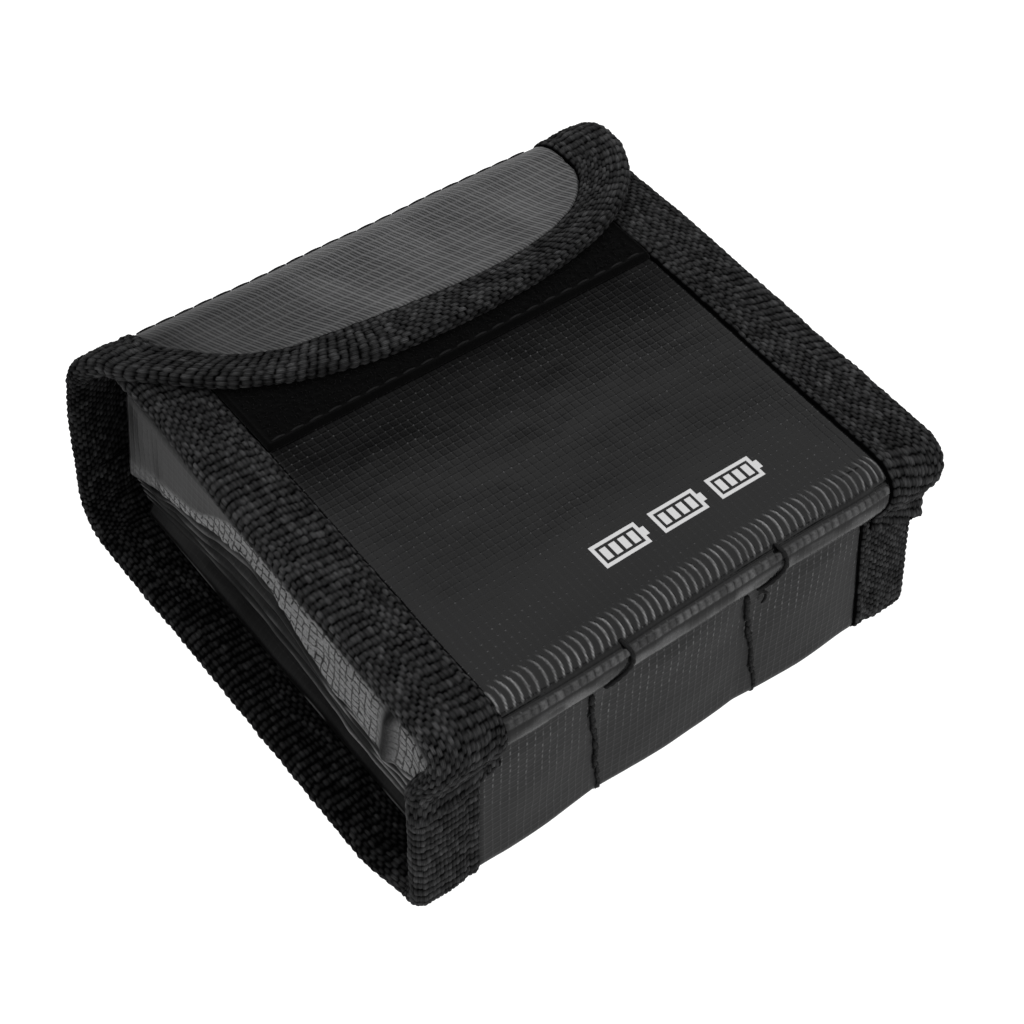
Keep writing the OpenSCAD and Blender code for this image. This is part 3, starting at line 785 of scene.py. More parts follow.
def weave(t, s, skew, seed):
    """Height of the ribbed weave, 0 to about 1, and the tone of each bead, which follows its height as a painted
    highlight on the bead tops: round ribs across the tape, broken into columns of warp ends that stand proud on
    alternate ribs."""
    k = t / COL + 0.25 * noise2(t * 0.25, s * 0.22, seed + 13)
    c = np.floor(k)
    odd = np.mod(c, 2) * 2 - 1
    shift = 0.05 + 0.17 * smooth01(0.5 + 1.5 * noise2(t * 0.16, s * 0.07, seed + 9))
    ph = (s + skew * t) / RIB + odd * shift + 0.12 * noise2(t * 0.7, s * 0.45, seed) + 0.05 * noise2(c * 0.77, s * 0.9, seed + 2)
    row = np.floor(ph + 0.5)
    rib = np.power(np.abs(np.cos(np.pi * ph)), 0.50)
    groove = np.power(np.abs(np.sin(np.pi * k)), 0.42)
    amp = 0.88 + 0.24 * hash2(c, row, seed + 4) + 0.15 * noise2(t * 0.95, s * 0.65, seed + 5)
    W = rib * (0.42 + 0.58 * groove) * amp
    # bead tone follows its height: a painted highlight on the bead tops, varied at random from bead to bead
    tone = W * (0.60 + 0.45 * hash2(c, row, seed) ** 2)
    return W, tone


def tape(name, mat, O, I, N, th=0.9, T=3.0, proud=0.35, crown=0.25, skew=0.0, seed=1, ds=0.31, A=0.42, dent=2.1,
         close=True, s_base=0.0, drift=False, dt=COL / 4, puff=None, under=0.0, dim=None):
    """Folded tape along an edge. O: outer edge line, I: inner edge line, N: outward normals, all (n, 3).
    proud is a number or a function of the length along the web."""
    d = np.concatenate([[0], np.cumsum(np.linalg.norm(np.diff((O + I) / 2, axis=0), axis=1))])
    n = max(3, int(round(d[-1] / ds)) + 1)
    s = np.linspace(0, d[-1], n)
    O, I, N = (np.stack([np.interp(s, d, q[:, k]) for k in range(3)], 1) for q in (O, I, N))
    s = s + s_base
    N = unit(N)
    width = np.linalg.norm(I - O, axis=1)
    Adir = (I - O) / width[:, None]
    w = float(np.median(width))
    R = T / 2
    flat = w - R
    L = 2 * flat + math.pi * R
    m = int(round(L / dt)) + 1
    t = np.linspace(0, L, m)
    th1 = np.clip((t - flat) / R, 0, math.pi)
    top, arc = t <= flat, (t > flat) & (t < flat + math.pi * R)
    a = np.where(top, w - t, np.where(arc, R - R * np.sin(th1), R + (t - flat - math.pi * R)))
    r = np.where(top, 0.0, np.where(arc, -R + R * np.cos(th1), -T))
    r = r + np.where(~top & ~arc, under * smooth01((a - R) / (w - R) * 1.3), 0.0)
    na = np.where(arc, -np.sin(th1), 0.0)
    nr = np.where(top, 1.0, np.where(arc, np.cos(th1), -1.0))
    prof = crown * np.sin(np.pi * np.clip((w - a) / w, 0, 1)) ** 0.7
    prof = prof - 0.26 * gauss(a - (w - dent), 0.75)
    prof = prof - 0.40 * np.exp(-np.clip(w - a, 0, None) / 0.25)
    SS, TT = np.meshgrid(s, t, indexing="ij")
    slow = 0.14 * fbm(SS / 9, TT / 6, seed + 40) + 0.08 * np.sin(SS / 3.4 * np.pi + seed) * gauss(a - (w - dent), 1.4)[None]
    if puff is not None:
        slow = slow + puff(SS) * arc[None] * np.sin(th1)[None]
    SW = SS
    if drift:
        miss = (2 * s_base + d[-1]) / RIB
        SW = SS + (round(miss) - miss) * RIB * (SS - s_base) / d[-1]
    k = (width / w)[:, None]
    TE = (TT - flat) * k
    W, tone = weave(TE, SW, skew, seed)
    fade = np.minimum(1, np.minimum(t, L - t) / 0.25)[None]
    # painted shade: dim darkens the bead tone on the back tapes and on the wall part of the flap tape
    if dim is not None:
        tone = tone * dim(SS)
    disp = prof[None] + slow + A * (W - 0.5) * fade
    off = (proud(s) if callable(proud) else np.full(n, proud))[:, None]
    # the edge of the cut or sealed tape isn't quite straight
    inner_wob = 0.12 * noise2(SS * 0.9, 0 * SS + 3, seed + 60) * np.clip(1 - np.minimum(t, L - t) / 2.0, 0, 1)[None]
    aa = a[None] * k + na[None] * disp + inner_wob
    rr = r[None] + off + nr[None] * disp
    outer = O[:, None] + aa[..., None] * Adir[:, None] + rr[..., None] * N[:, None]
    q = np.unique(np.round(np.linspace(0, m - 1, 34)).astype(int))[::-1]
    disp_in = prof[None, q] * 0.8 + slow[:, q]
    ai = a[q][None] * k + na[q][None] * (disp_in - th) + inner_wob[:, q]
    ri = r[q][None] + off + nr[q][None] * (disp_in - th)
    inner = O[:, None] + ai[..., None] * Adir[:, None] + ri[..., None] * N[:, None]
    P = np.concatenate([outer, inner], 1)
    mm = P.shape[1]
    V = P.reshape(-1, 3)
    F = grid_faces(n, mm, wrap=True).tolist()
    if close:
        F.append(list(range(mm)))
        F.append([(n - 1) * mm + j for j in range(mm - 1, -1, -1)])
    uv = np.concatenate([np.stack([TE, SS], -1), np.stack([TE[:, q], SS[:, q]], -1)], 1).reshape(-1, 2)
    wv = np.concatenate([np.clip(tone, 0, 1.4) * fade, np.full((n, len(q)), 0.2)], 1)
    return make(name, V, F, mat, uv, {"weave": wv.ravel()})


def edge_lines(s0, s1, x_fn, side, w=TAPE_W, r0=0.0, n=400, w_fn=None):
    """Outer line, inner line and normals of a straight side binding between two lengths of the web."""
    s = np.linspace(s0, s1, n)
    y, z, ny, nz = web.at(s)
    x = x_fn(s)
    ww = w if w_fn is None else w_fn(s)
    O = np.stack([x, y + ny * r0, z + nz * r0], 1)
    I = O + np.stack([side * ww * np.ones_like(s), 0 * s, 0 * s], 1)
    N = np.stack([0 * s, ny, nz], 1)
    return O, I, N


def capsule(p0, p1, up, r, lift=0.0, nseg=7, nring=6, arch=0.0):
    """A short thread between two points, arched along up."""
    p0, p1, up = np.asarray(p0, float), np.asarray(p1, float), np.asarray(up, float)
    d = p1 - p0
    ln = np.linalg.norm(d)
    d = d / max(ln, 1e-9)
    side = unit(np.cross(d, up))
    up = unit(np.cross(side, d))
    V, uv = [], []
    tt = np.linspace(0, 1, nseg)
    for t in tt:
        c = p0 + d * ln * t + up * (lift + arch * math.sin(math.pi * t))
        rad = r * (0.35 + 0.65 * math.sin(math.pi * min(max(t, 0.06), 0.94)) ** 0.45)
        for j in range(nring):
            a = 2 * math.pi * j / nring
            V.append(c + side * math.cos(a) * rad + up * math.sin(a) * rad)
            uv.append((r * a, ln * t))
    V = np.array(V)
    F = grid_faces(nseg, nring, wrap=True)
    # close the ends with a point each
    V = np.vstack([V, [p0 + up * lift - d * r * 0.3], [p1 + up * lift + d * r * 0.3]])
    uv += [(0, 0), (0, ln)]
    a, b = len(V) - 2, len(V) - 1
    caps = [[a, (j + 1) % nring, j, j] for j in range(nring)]
    k = (nseg - 1) * nring
    caps += [[b, k + j, k + (j + 1) % nring, k + (j + 1) % nring] for j in range(nring)]
    return V, F, np.array(caps), np.array(uv)


def threads(name, items, mat=None, warped=True):
    """Many stitches in one mesh. items: list of (p0, p1, up, r, arch)."""
    V, F, UV, off = [], [], [], 0
    for p0, p1, up, r, arch in items:
        v, f, c, uv = capsule(p0, p1, up, r, 0.0, arch=arch)
        V.append(v)
        F += (f + off).tolist()
        F += [list(dict.fromkeys(q)) for q in (c + off).tolist()]
        UV.append(uv)
        off += len(v)
    return make(name, np.vstack(V), F, mat or M_THREAD, np.vstack(UV), warped=warped)


# ================================================================== build
pieces = {}

# ---- outer cloth
front_cloth = sheet("front_and_roll_cloth", M_FRONT, 4.0, M["roll_end"] + 0.4, 421, 240, wear_and_highlight=True)
bottom_cloth = sheet("bottom_wall_cloth", M_BOTTOM, M["roll_end"] + 0.1, M["floor_bend"] + 1.0, 181, 91)
mid_wall = M["wall_bend"] + 7.0
back_cloth = sheet("back_and_lower_wall_cloth", M_BACK, M["floor_bend"] + 0.6, mid_wall, 141, 201)
wall_cloth = sheet("upper_wall_and_flap_cloth", M_FLAP, mid_wall, None, 201, 161, y_end=(-44.3, 44.3, flap_mid))

# ---- linings
LI = -1.15
front_lin = sheet("front_lining_sheet", M_LINING, 6.5, M["front"] - 1, 61, 81, LI, 0.3, 12.6, plain=True)
roll_lin = sheet("roll_lining_sheet", M_LINING, M["front"] - 1, M["roll_end"] - 0.2, 61, 31, LI, 0.3, 12.6, plain=True)
bottom_lin = sheet("bottom_lining_sheet", M_LINING, M["crease"] + 0.5, M["floor_bend"] - 1.0, 61, 41, LI, 0.3, 12.6, plain=True)
back_lin = sheet("back_lining_sheet", M_LINING, M["floor_bend"] + 0.6, mid_wall, 61, 111, LI, 0.3, 12.6, plain=True)


def flap_lin_y(x):
    return flap_mid(x) + 1.0


wall_lin = sheet("wall_and_flap_lining_sheet", M_LINING, mid_wall, None, 61, 91, LI, 0.3, y_end=(-41.0, 41.0, flap_lin_y), plain=True)

# ---- side bindings
def side_proud(s):
    """The lower bindings lie flat on the floor and stand proud on the walls."""
    return 0.05 + 0.25 * smooth01((M["floor_bend"] - s) / 5) + 0.25 * smooth01((s - M["back"] - 1) / 8)


xl, xr = (lambda s: np.full_like(s, FRONT_X[0])), (lambda s: np.full_like(s, FRONT_X[1]))
e0, e1, e2 = -0.2, M["roll_end"] + 0.2, M["roll_end"] + 0.3


def soft(a, n):
    """Running mean along a line, its ends held."""
    k = np.hanning(2 * n + 3)[1:-1]
    b = np.vstack([np.repeat(a[:1], n, 0), a, np.repeat(a[-1:], n, 0)])
    return np.stack([np.convolve(b[:, i], k / k.sum(), "valid") for i in range(a.shape[1])], 1)


def front_lines(side):
    """The front bindings run on round the roll and lap over the heads of the lower ones."""
    s = np.linspace(e0, e1, 620)
    wrap = smooth01((s - M["front"] - 3) / (e1 - M["front"] - 3))
    late = smooth01((s - M["roll"] + 1.5) / 3.0)
    x_edge = FRONT_X[0] if side < 0 else FRONT_X[1]
    out = []
    for run, dx, w, r in ((5.6, -3.6 if side < 0 else -1.6, 0.0, 0.95), (2.2, 0.0 if side < 0 else -2.6, TAPE_W, 0.75)):
        y, z, ny, nz = web.at(s + run * wrap)
        lift = 0.0
        if side < 0 and w == 0.0:
            # its corner at the mouth curls up under the flap
            lift = 1.1 * smooth01((26 - s) / 22)
            dx0 = 0.7 * smooth01((34 - s) / 26)
        else:
            dx0 = 0.0
        x = x_edge - side * w + dx * wrap + dx0
        out.append(soft(np.stack([x, y + ny * r * late, z + nz * r * late + lift], 1), 9))
    y, z, ny, nz = web.at(s + 4 * wrap)
    return out[0], out[1], unit(soft(np.stack([0 * s, ny, nz], 1), 9))


O, I, N = front_lines(-1)
front_tape_l = tape("front_edge_tape_left", M_TAPE, O, I, N, T=3.0, proud=0.45, seed=3, skew=0.08, s_base=e0)
O, I, N = front_lines(1)
front_tape_r = tape("front_edge_tape_right", M_TAPE, O, I, N, T=3.0, proud=0.45, seed=5, skew=-0.30, s_base=e0)
O, I, N = edge_lines(e2, M["floor_bend"], edge_left, 1)
bottom_tape_l = tape("bottom_edge_tape_left", M_TAPE, O, I, N, proud=side_proud, seed=7, s_base=e2)
O, I, N = edge_lines(e2, M["floor_bend"], edge_right, -1)
bottom_tape_r = tape("bottom_edge_tape_right", M_TAPE, O, I, N, proud=side_proud, seed=9, s_base=e2)


# painted shade on the back tapes, darker beyond the floor bend
def back_dim(S):
    return 1 - 0.38 * smooth01((S - M["floor_bend"]) / 6)


O, I, N = edge_lines(M["floor_bend"], mid_wall, edge_left, 1, n=700)
back_tape_l = tape("back_edge_tape_left", M_TAPE, O, I, N, proud=side_proud, seed=7, crown=0.25, s_base=M["floor_bend"], dim=back_dim)
O, I, N = edge_lines(M["floor_bend"], mid_wall, edge_right, -1, n=700)
back_tape_r = tape("back_edge_tape_right", M_TAPE, O, I, N, proud=side_proud, seed=9, crown=0.25, s_base=M["floor_bend"], dim=back_dim)


# ---- wall and flap binding, one run up the wall, round the flap and down again
def wall_side(side, flip):
    s = np.linspace(mid_wall, M["hinge_b"], 260)
    y, z, ny, nz = web.at(s)
    draw = smooth01((s - M["hinge_a"] + 2) / (M["hinge_b"] - M["hinge_a"] + 2))
    O = np.stack([side * 50.0 + (3.2 if side < 0 else 0) * draw, y, z], 1)
    I = np.stack([side * (50.0 - TAPE_W) + (0.4 if side < 0 else 0) * draw, y, z], 1)
    N = np.stack([0 * s, ny, nz], 1)
    return (O[::-1], I[::-1], N[::-1]) if flip else (O, I, N)


fo, _ = resample(FLAP_OUT, n=500)
# pair each outer point with the matching place on the inner line
par = np.linspace(0, 1, len(FLAP_OUT))
do = np.concatenate([[0], np.cumsum(np.linalg.norm(np.diff(FLAP_OUT, axis=0), axis=1))])
pp = np.interp(np.linspace(0, do[-1], 500), do, par)
fi = np.stack([np.interp(pp, par, FLAP_IN[:, 0]), np.interp(pp, par, FLAP_IN[:, 1])], 1)
zo = FLAP_H + flap_drop(fo[:, 1])
zi = FLAP_H + flap_drop(fi[:, 1])
Of = np.column_stack([fo, zo])
If = np.column_stack([fi, zi])
tang = np.gradient(Of, axis=0)
Nf = unit(np.cross(If - Of, tang))
Nf = Nf * np.sign(Nf[:, 2:3])
a, b = wall_side(-1, False), wall_side(1, True)
O = np.vstack([a[0][:-1], Of, b[0][1:]])
I = np.vstack([a[1][:-1], If, b[1][1:]])
N = np.vstack([a[2][:-1], Nf, b[2][1:]])
total = float(np.sum(np.linalg.norm(np.diff((O + I) / 2, axis=0), axis=1)))
rise = M["hinge_a"] - mid_wall


# painted shade on the wall part of the flap tape, full tone round the flap
def wall_dim(S):
    q = np.minimum(S - mid_wall, mid_wall + total - S)
    return 0.62 + 0.38 * smooth01((q - rise + 3) / 6)


flap_tape = tape("wall_and_flap_edge_tape", M_TAPE, O, I, N, proud=0.30, seed=7, ds=0.31, s_base=mid_wall, drift=True, under=0.9,
                 dim=wall_dim)

# ---- binding of the mouth edge, under the flap
xm = np.linspace(FRONT_X[0] + TAPE_W - 1.0, FRONT_X[1] - TAPE_W + 1.0, 300)
O = np.stack([xm, np.full_like(xm, MOUTH_Y), np.full_like(xm, FRONT_H)], 1)
I = O - np.array([0, 4.5, 0])
mouth_tape = tape("mouth_edge_tape", M_TAPE, O, I, np.tile([0, 0, 1.0], (len(xm), 1)), th=0.8, T=2.4, proud=0.05, crown=0.1, dent=1.3, seed=19, ds=0.35)


# ---- gussets
RIGHT_SHIFT = np.array([4.5, 4.5, 4.5, 4.5, 4.5, 4.3, 3.8, 3.3, 3.0, 2.7, 2.5, 2.3, 2.1, 1.9, 1.7, 1.5, 1.3, 1.1, 0.9, 0.5, 0, 0, 0, 0, 0, 0,
                        0, 0])
SPLIT = 4  # the strip is cut into an upper and a lower mesh at this control point
# height of the outer fold along the pouch, from the mouth to the closed end
FOLD_Y = [-44, -41, -36, -31, -23, -17, -12, -7, -2, 5, 14, 22, 28, 33, 38]
FOLD_Z = [29.0, 27.5, 25.0, 24.2, 24.2, 25.3, 27.0, 29.0, 30.2, 29.2, 25.9, 22.8, 20.6, 18.4, 16.5]


def gusset_section(y):
    """Half section of the gusset at y: out from the front panel's edge to the back panel's, as (outward X, Z)."""
    zf = float(np.interp(y, FOLD_Y, FOLD_Z))
    xf = float(np.interp(y, [-42, -20, 5, 36], [44.6, 44.5, 44.0, 43.6]))
    top = 33.3 + 0.8 * float(smooth01((y - 16) / 20))
    pts = [(36.5, 36.3), (34.4, 35.8), (33.9, 34.8), (35.2, 34.0), (39.8, 34.1), (xf - 1.1, 34.3), (xf, top)]
    for a, dx in ((0.33, 0.25), (0.66, 0.40)):
        pts.append((xf + dx, top + (zf - top) * a))
    pts += [(xf + 0.65, zf + 0.55), (xf + 0.25, zf - 0.35)]
    low = 9.3 + 11.0 * float(smooth01((-38.0 - y) / 6))
    gap = (zf - 1.3 - low) / 8
    depth = float(np.interp(gap, [0.7, 2.0], [0.9, 1.6]))
    back = (-1.2, -0.25, -1.5, -0.7, -2.0, -1.2, -2.5, -1.7, -3.2)
    for k, dx in enumerate(back):
        pts.append((xf + dx * depth, zf - 1.3 - gap * k))
    pts += [(41.2, low - 2.2), (41.8, 5.9), (41.5, 4.5), (39.8, 3.9), (38.2, 3.2), (38.3, 2.2), (39.6, 1.75), (44.0, 1.7)]
    return np.array(pts)


def gusset_grid(side, ny=290, per=9):
    ys = np.linspace(36.8, -43.4, ny)
    rows = []
    n = len(gusset_section(0))
    K = np.arange(n)
    free = smooth01((K - 5) / 3.0) * smooth01((22 - K) / 3.0)
    fine = np.interp(np.arange((n - 1) * per + 1) / per, K, free)
    seed = 31 + (side > 0)
    yrows = []
    for y in ys:
        c = gusset_section(y)
        if side > 0:
            c[:, 0] += RIGHT_SHIFT
        pleat = free * (K > 10)
        c[:, 0] += free * 0.22 * noise2(K * 0.55, np.full(n, y / 6.0), seed)
        c[:, 1] += pleat * 0.38 * noise2(K * 0.6 + 9, np.full(n, y / 8.0), seed + 2)
        # at the closed end the top follows the roll down
        end = float(smooth01((-37.0 - y) / 6.0))
        top = np.clip((c[:, 1] - 26) / 10, 0, 1)
        c[:, 1] -= end * top * 3.2
        rows.append(catmull(c, per))
        yrows.append(np.full(len(rows[-1]), y))
    G = np.array(rows)
    P = np.stack([side * G[..., 0], np.array(yrows), G[..., 1]], -1)
    return P, per, fine


# pleat edges that get a painted highlight
RIM_HIGHLIGHT_AT = (9.8, 12, 14, 16, 18)


def gusset(side, tag):
    P, per, free = gusset_grid(side)
    Nn = normals_of(P) * (1 if side < 0 else -1)
    ds = np.linalg.norm(np.diff(P, axis=1), axis=2)
    S = np.concatenate([np.zeros((len(P), 1)), np.cumsum(ds, 1)], 1)
    kk = np.arange(P.shape[1]) / per
    # crackled coating, also painted pale as a highlight on the outer fold: the whole outer face near the closed end,
    # only its lower half by the mouth
    Y = P[:, :1, 1]
    start = 5.4 + 2.8 * smooth01((Y - 2) / 16)
    band = smooth01((kk[None] - start) / 0.5) * smooth01((10.3 - kk[None]) / 0.5)
    band = band * (0.35 + 0.65 * smooth01((33 - Y) / 9)) * (1 - 0.95 * gauss(Y + 33.3, 1.9))
    # painted highlights along the edges of the thin folds
    rim_highlight = sum(gauss(kk - q, 0.15) for q in RIM_HIGHLIGHT_AT)[None] * smooth01(0.45 + 1.6 * noise2(P[..., 1] * 0.16, S * 0.25, 77)) * 0.9
    rim_highlight = rim_highlight * (0.35 + 0.65 * smooth01((-8 - Y) / 14))
    rim_highlight = rim_highlight + 0.5 * gauss(kk - 21.3, 0.12)[None] * smooth01(0.3 + 1.5 * noise2(P[..., 1] * 0.2, S * 0, 78))
    # painted shade in the notch and deep in the pleats
    notch_shade = gauss(Y + 33.3, 1.25) * smooth01((kk[None] - 5.0) / 1) * smooth01((11 - kk[None]) / 1)
    deep_shade = 0.85 * smooth01((kk[None] - 10.2) / 0.6) * (0.8 + 0.2 * noise2(P[..., 1] * 0.2, S * 0.3, 79))
    # buckles of the coating on the outer fold, and shallow pinches where it creases
    P = P + Nn * (0.12 * band * noise2(P[..., 1] * 0.75, S * 0.8, 51 + (side > 0)))[..., None]
    P = P - Nn * (0.9 * gauss(Y + 33.5, 1.2) * smooth01((kk[None] - 5.5) / 1) * smooth01((11 - kk[None]) / 1))[..., None]
    pinch = free[None] * (0.20 * noise2(P[..., 1] * 0.30, S * 0.12, 57 + (side > 0)))
    P = P + Nn * pinch[..., None]
    out = []
    k = SPLIT * per + per
    for nm, a, b in (("upper", 0, k + 1), ("lower", k, P.shape[1])):
        Q, Nq = P[:, a:b], Nn[:, a:b]
        V, F = shell(Q + Nq * 0.2, Q - Nq * 0.2)
        uv = np.stack([P[:, a:b, 1], S[:, a:b]], -1).reshape(-1, 2)
        at = {"band": np.tile(np.clip(np.broadcast_to(band, S.shape)[:, a:b], 0, 1).ravel(), 2), "rim_highlight": np.tile(np.broadcast_to(rim_highlight, S.shape)[:, a:b].ravel(), 2),
              "deep_shade": np.tile(np.broadcast_to(np.maximum(deep_shade, notch_shade), S.shape)[:, a:b].ravel(), 2)}
        out.append(make(f"gusset_{tag}_{nm}", V, F, M_GUSSET, np.vstack([uv, uv]), at))
    return out


gus_l = gusset(-1, "left")
gus_r = gusset(1, "right")


# ---- dividers between the pockets
def divider(name, x0):
    yy = np.linspace(-42.0, 30.5, 60)
    zz = np.linspace(1.4, 34.4, 30)
    Y, Z = np.meshgrid(yy, zz)
    X = x0 + 0.35 * fbm(Y / 16, Z / 11, 61) * np.sin(np.pi * (Z - 1.4) / 33)
    # rounded upper corner at the mouth
    cut = np.clip((Y - 22) / 8.5, 0, 1)
    Z = Z - (Z - 1.4) / 33 * 3.0 * cut**2
    a = np.stack([X - 0.35, Y, Z], -1)
    b = np.stack([X + 0.35, Y, Z], -1)
    V, F = shell(a, b)
    uv = np.stack([Y, Z], -1).reshape(-1, 2)
    return make(name, V, F, M_LINING, np.vstack([uv, uv]))


div_l = divider("divider_sheet_left", -15.0)
div_r = divider("divider_sheet_right", 12.5)


# ---- loop strip, with its pile
def front_z(x, y):
    s = y_to_s_front(y)
    return FRONT_H + cloth_r(x, s)


lo, hi = box_mm("loop_strip")
xs = np.linspace(lo[0] + 0.2, hi[0] - 0.2, 260)
ys = np.linspace(lo[1], hi[1], 90)
X, Y = np.meshgrid(xs, ys)
base = front_z(X, Y)
edge = np.minimum(np.minimum(Y - lo[1], hi[1] - Y), np.minimum(X - lo[0], hi[0] - X))
topz = base + 0.12 + 0.75 * smooth01(edge / 0.5) + 0.10 * noise2(X * 1.9, Y * 1.9, 71) * smooth01((edge - 1.2) / 0.6) \
    + 0.22 * gauss(edge - 0.55, 0.35)
V, F = shell(np.stack([X, Y, topz], -1), np.stack([X, Y, base - 0.05], -1))
loop_base = make("loop_strip_base", V, F, M_PILE)

loops = []
r2 = np.random.RandomState(5)
gx, gy = np.meshgrid(np.arange(lo[0] + 1.9, hi[0] - 1.7, 0.95), np.arange(lo[1] + 1.9, hi[1] - 1.7, 0.95))
for cx, cy in zip(gx.ravel(), gy.ravel()):
    cx, cy = cx + r2.uniform(-0.35, 0.35), cy + r2.uniform(-0.35, 0.35)
    ang = r2.uniform(0, math.pi)
    d = np.array([math.cos(ang), math.sin(ang), 0]) * r2.uniform(0.22, 0.42)
    c = np.array([cx, cy, FRONT_H + 0.70 + float(cloth_r(np.array(cx), np.array(y_to_s_front(cy))))])
    loops.append((c - d, c + d, (0, 0, 1.0), 0.07, r2.uniform(0.25, 0.5)))


def fuzz(name, items, mat):
    """Light-weight loops: three-sided arcs."""
    V, F, off = [], [], 0
    tt = np.linspace(0, math.pi, 5)
    for p0, p1, up, r, arch in items:
        p0, p1, up = (np.asarray(q, float) for q in (p0, p1, up))
        c = (p0 + p1) / 2
        d = (p1 - p0) / 2
        side = unit(np.cross(d, up))
        ring = []
        for t in tt:
            q = c - d * math.cos(t) * (1 + 0.3 * math.sin(t)) + up * arch * math.sin(t)
            rad = unit(-d * math.cos(t) + up * arch * math.sin(t) + 1e-6)
            for j in range(3):
                a = 2 * math.pi * j / 3
                ring.append(q + side * math.cos(a) * r + rad * math.sin(a) * r)
        V.append(np.array(ring))
        f = grid_faces(5, 3, wrap=True) + off
        F += f.tolist()
        F.append([off, off + 2, off + 1])
        F.append([off + 12, off + 13, off + 14])
        off += 15
    return make(name, np.vstack(V), F, mat)


loop_pile = fuzz("loop_strip_pile", loops, M_PILE)

# ---- hook strip under the flap
lo, hi = box_mm("hook_strip")
xs = np.linspace(lo[0], hi[0], 120)
ys = np.linspace(lo[1], hi[1], 24)
X, Y = np.meshgrid(xs, ys)
topz = FLAP_H - 1.45 + flap_drop(Y)
V, F = shell(np.stack([X, Y, topz], -1), np.stack([X, Y, topz - 0.80], -1))
hook_base = make("hook_strip_base", V, F, M_HOOK)
hooks = []
for cx in np.arange(lo[0] + 1.2, hi[0] - 1.0, 1.15):
    for cy in np.arange(lo[1] + 1.7, hi[1] - 1.4, 1.15):
        c = np.array([cx, cy, FLAP_H - 2.25 + float(flap_drop(cy))])
        d = np.array([0.16, 0.08 * (-1) ** int(cx * 3), 0])
        hooks.append((c - d, c + d, (0, 0, -1.0), 0.07, 0.62))
hook_hooks = fuzz("hook_strip_hooks", hooks, M_HOOK)


# ---- printed mark: three generic cells on the front panel
def mark():
    parts = []
    lo, hi = box_mm("front_mark")
    cx, cy = (lo[0] + hi[0] - 0.7) / 2, (lo[1] + hi[1]) / 2

    def slab(x0, x1, y0, y1):
        nx, ny = max(2, int((x1 - x0) / 0.4) + 1), max(2, int((y1 - y0) / 0.4) + 1)
        X, Y = np.meshgrid(np.linspace(x0, x1, nx), np.linspace(y0, y1, ny))
        Z = front_z(X, Y)
        parts.append(shell(np.stack([X, Y, Z + 0.07], -1), np.stack([X, Y, Z - 0.06], -1)))

    for i in (-1, 0, 1):
        x, y = cx + i * 11, cy
        slab(x - 4.2, x + 4.2, y - 2.2, y - 1.6)
        slab(x - 4.2, x + 4.2, y + 1.6, y + 2.2)
        slab(x - 4.2, x - 3.6, y - 1.6, y + 1.6)
        slab(x + 3.6, x + 4.2, y - 1.6, y + 1.6)
        slab(x + 4.2, x + 4.9, y - 0.8, y + 0.8)
        for k in range(-2, 2):
            slab(x + k * 1.7 + 0.3, x + k * 1.7 + 1.4, y - 1.1, y + 1.1)
    V, F = join(parts)
    return make("front_mark_print", V, F, M_PRINT, smooth=False)


mark_obj = mark()


# ---- stitches
def on_tape(y_or_s, side, x_edge, r, by="s", a=TAPE_W - 2.1):
    pass


def line_stitches(name, x, s0, s1, r, pitch=3.4, ln=2.3, rad=0.26, sink=0.05, jitter=0.1, seed=0, flip=1):
    """Stitches along the web at one or more X, at depth r on its outer face, as (p0, p1, up, radius, arch)."""
    q = np.random.RandomState(seed)
    items = []
    for x0 in np.atleast_1d(x):
        n = int((s1 - s0) / pitch)
        for i in range(n):
            c = s0 + (i + 0.5) * pitch
            pts = []
            for d in (-ln / 2, ln / 2):
                y, z, ny, nz = web.at(c + d)
                j = q.uniform(-jitter, jitter)
                pts.append(np.array([x0 + j, y + ny * (r - sink), z + nz * (r - sink)]))
            y, z, ny, nz = web.at(c)
            items.append((pts[0], pts[1], (0, ny * flip, nz * flip), rad, 0.16 * flip))
    return items


st = line_stitches("f", [FRONT_X[0] + TAPE_W - 2.1, FRONT_X[1] - TAPE_W + 2.1], 1.5, M["front"] + 2, 0.30, seed=1, rad=0.2)
front_st = threads("front_edge_stitches", st)
items = []
for x0 in (BACK_X[0] + TAPE_W - 1.9, BACK_X[1] - TAPE_W + 1.9):
    for y in np.arange(-39.5, 36, 3.4):
        items.append(((x0, y - 1.15, 2.85), (x0, y + 1.15, 2.85), (0, 0, 1.0), 0.2, 0.16))
    s0, s1 = M["floor_bend"] + 2, M["back"]
items += line_stitches("b", [BACK_X[0] + TAPE_W - 2.1, BACK_X[1] - TAPE_W + 2.1], M["floor_bend"] + 2, M["back"] - 1, -0.02, seed=2, rad=0.2)
back_st = threads("back_edge_stitches", items)
items = line_stitches("w", [BACK_X[0] + TAPE_W - 2.1, BACK_X[1] - TAPE_W + 2.1], mid_wall + 0.4, M["hinge_b"] - 1, 0.22, seed=3, rad=0.2)
wall_st = threads("wall_edge_stitches", items)
# round the flap
t_line = If + (Of - If) * (2.1 / TAPE_W)
pl, sl = resample(t_line, step=0.2)
nn = int(sl[-1] / 3.4)
items = []
for i in range(nn):
    c = (i + 0.5) * sl[-1] / nn
    p = [np.array([np.interp(c + d, sl, pl[:, k]) for k in range(3)]) + np.array([0, 0, 0.16]) for d in (-1.15, 1.15)]
    items.append((p[0], p[1], (0, 0, 1.0), 0.2, 0.16))
flap_st = threads("flap_edge_stitches", items)
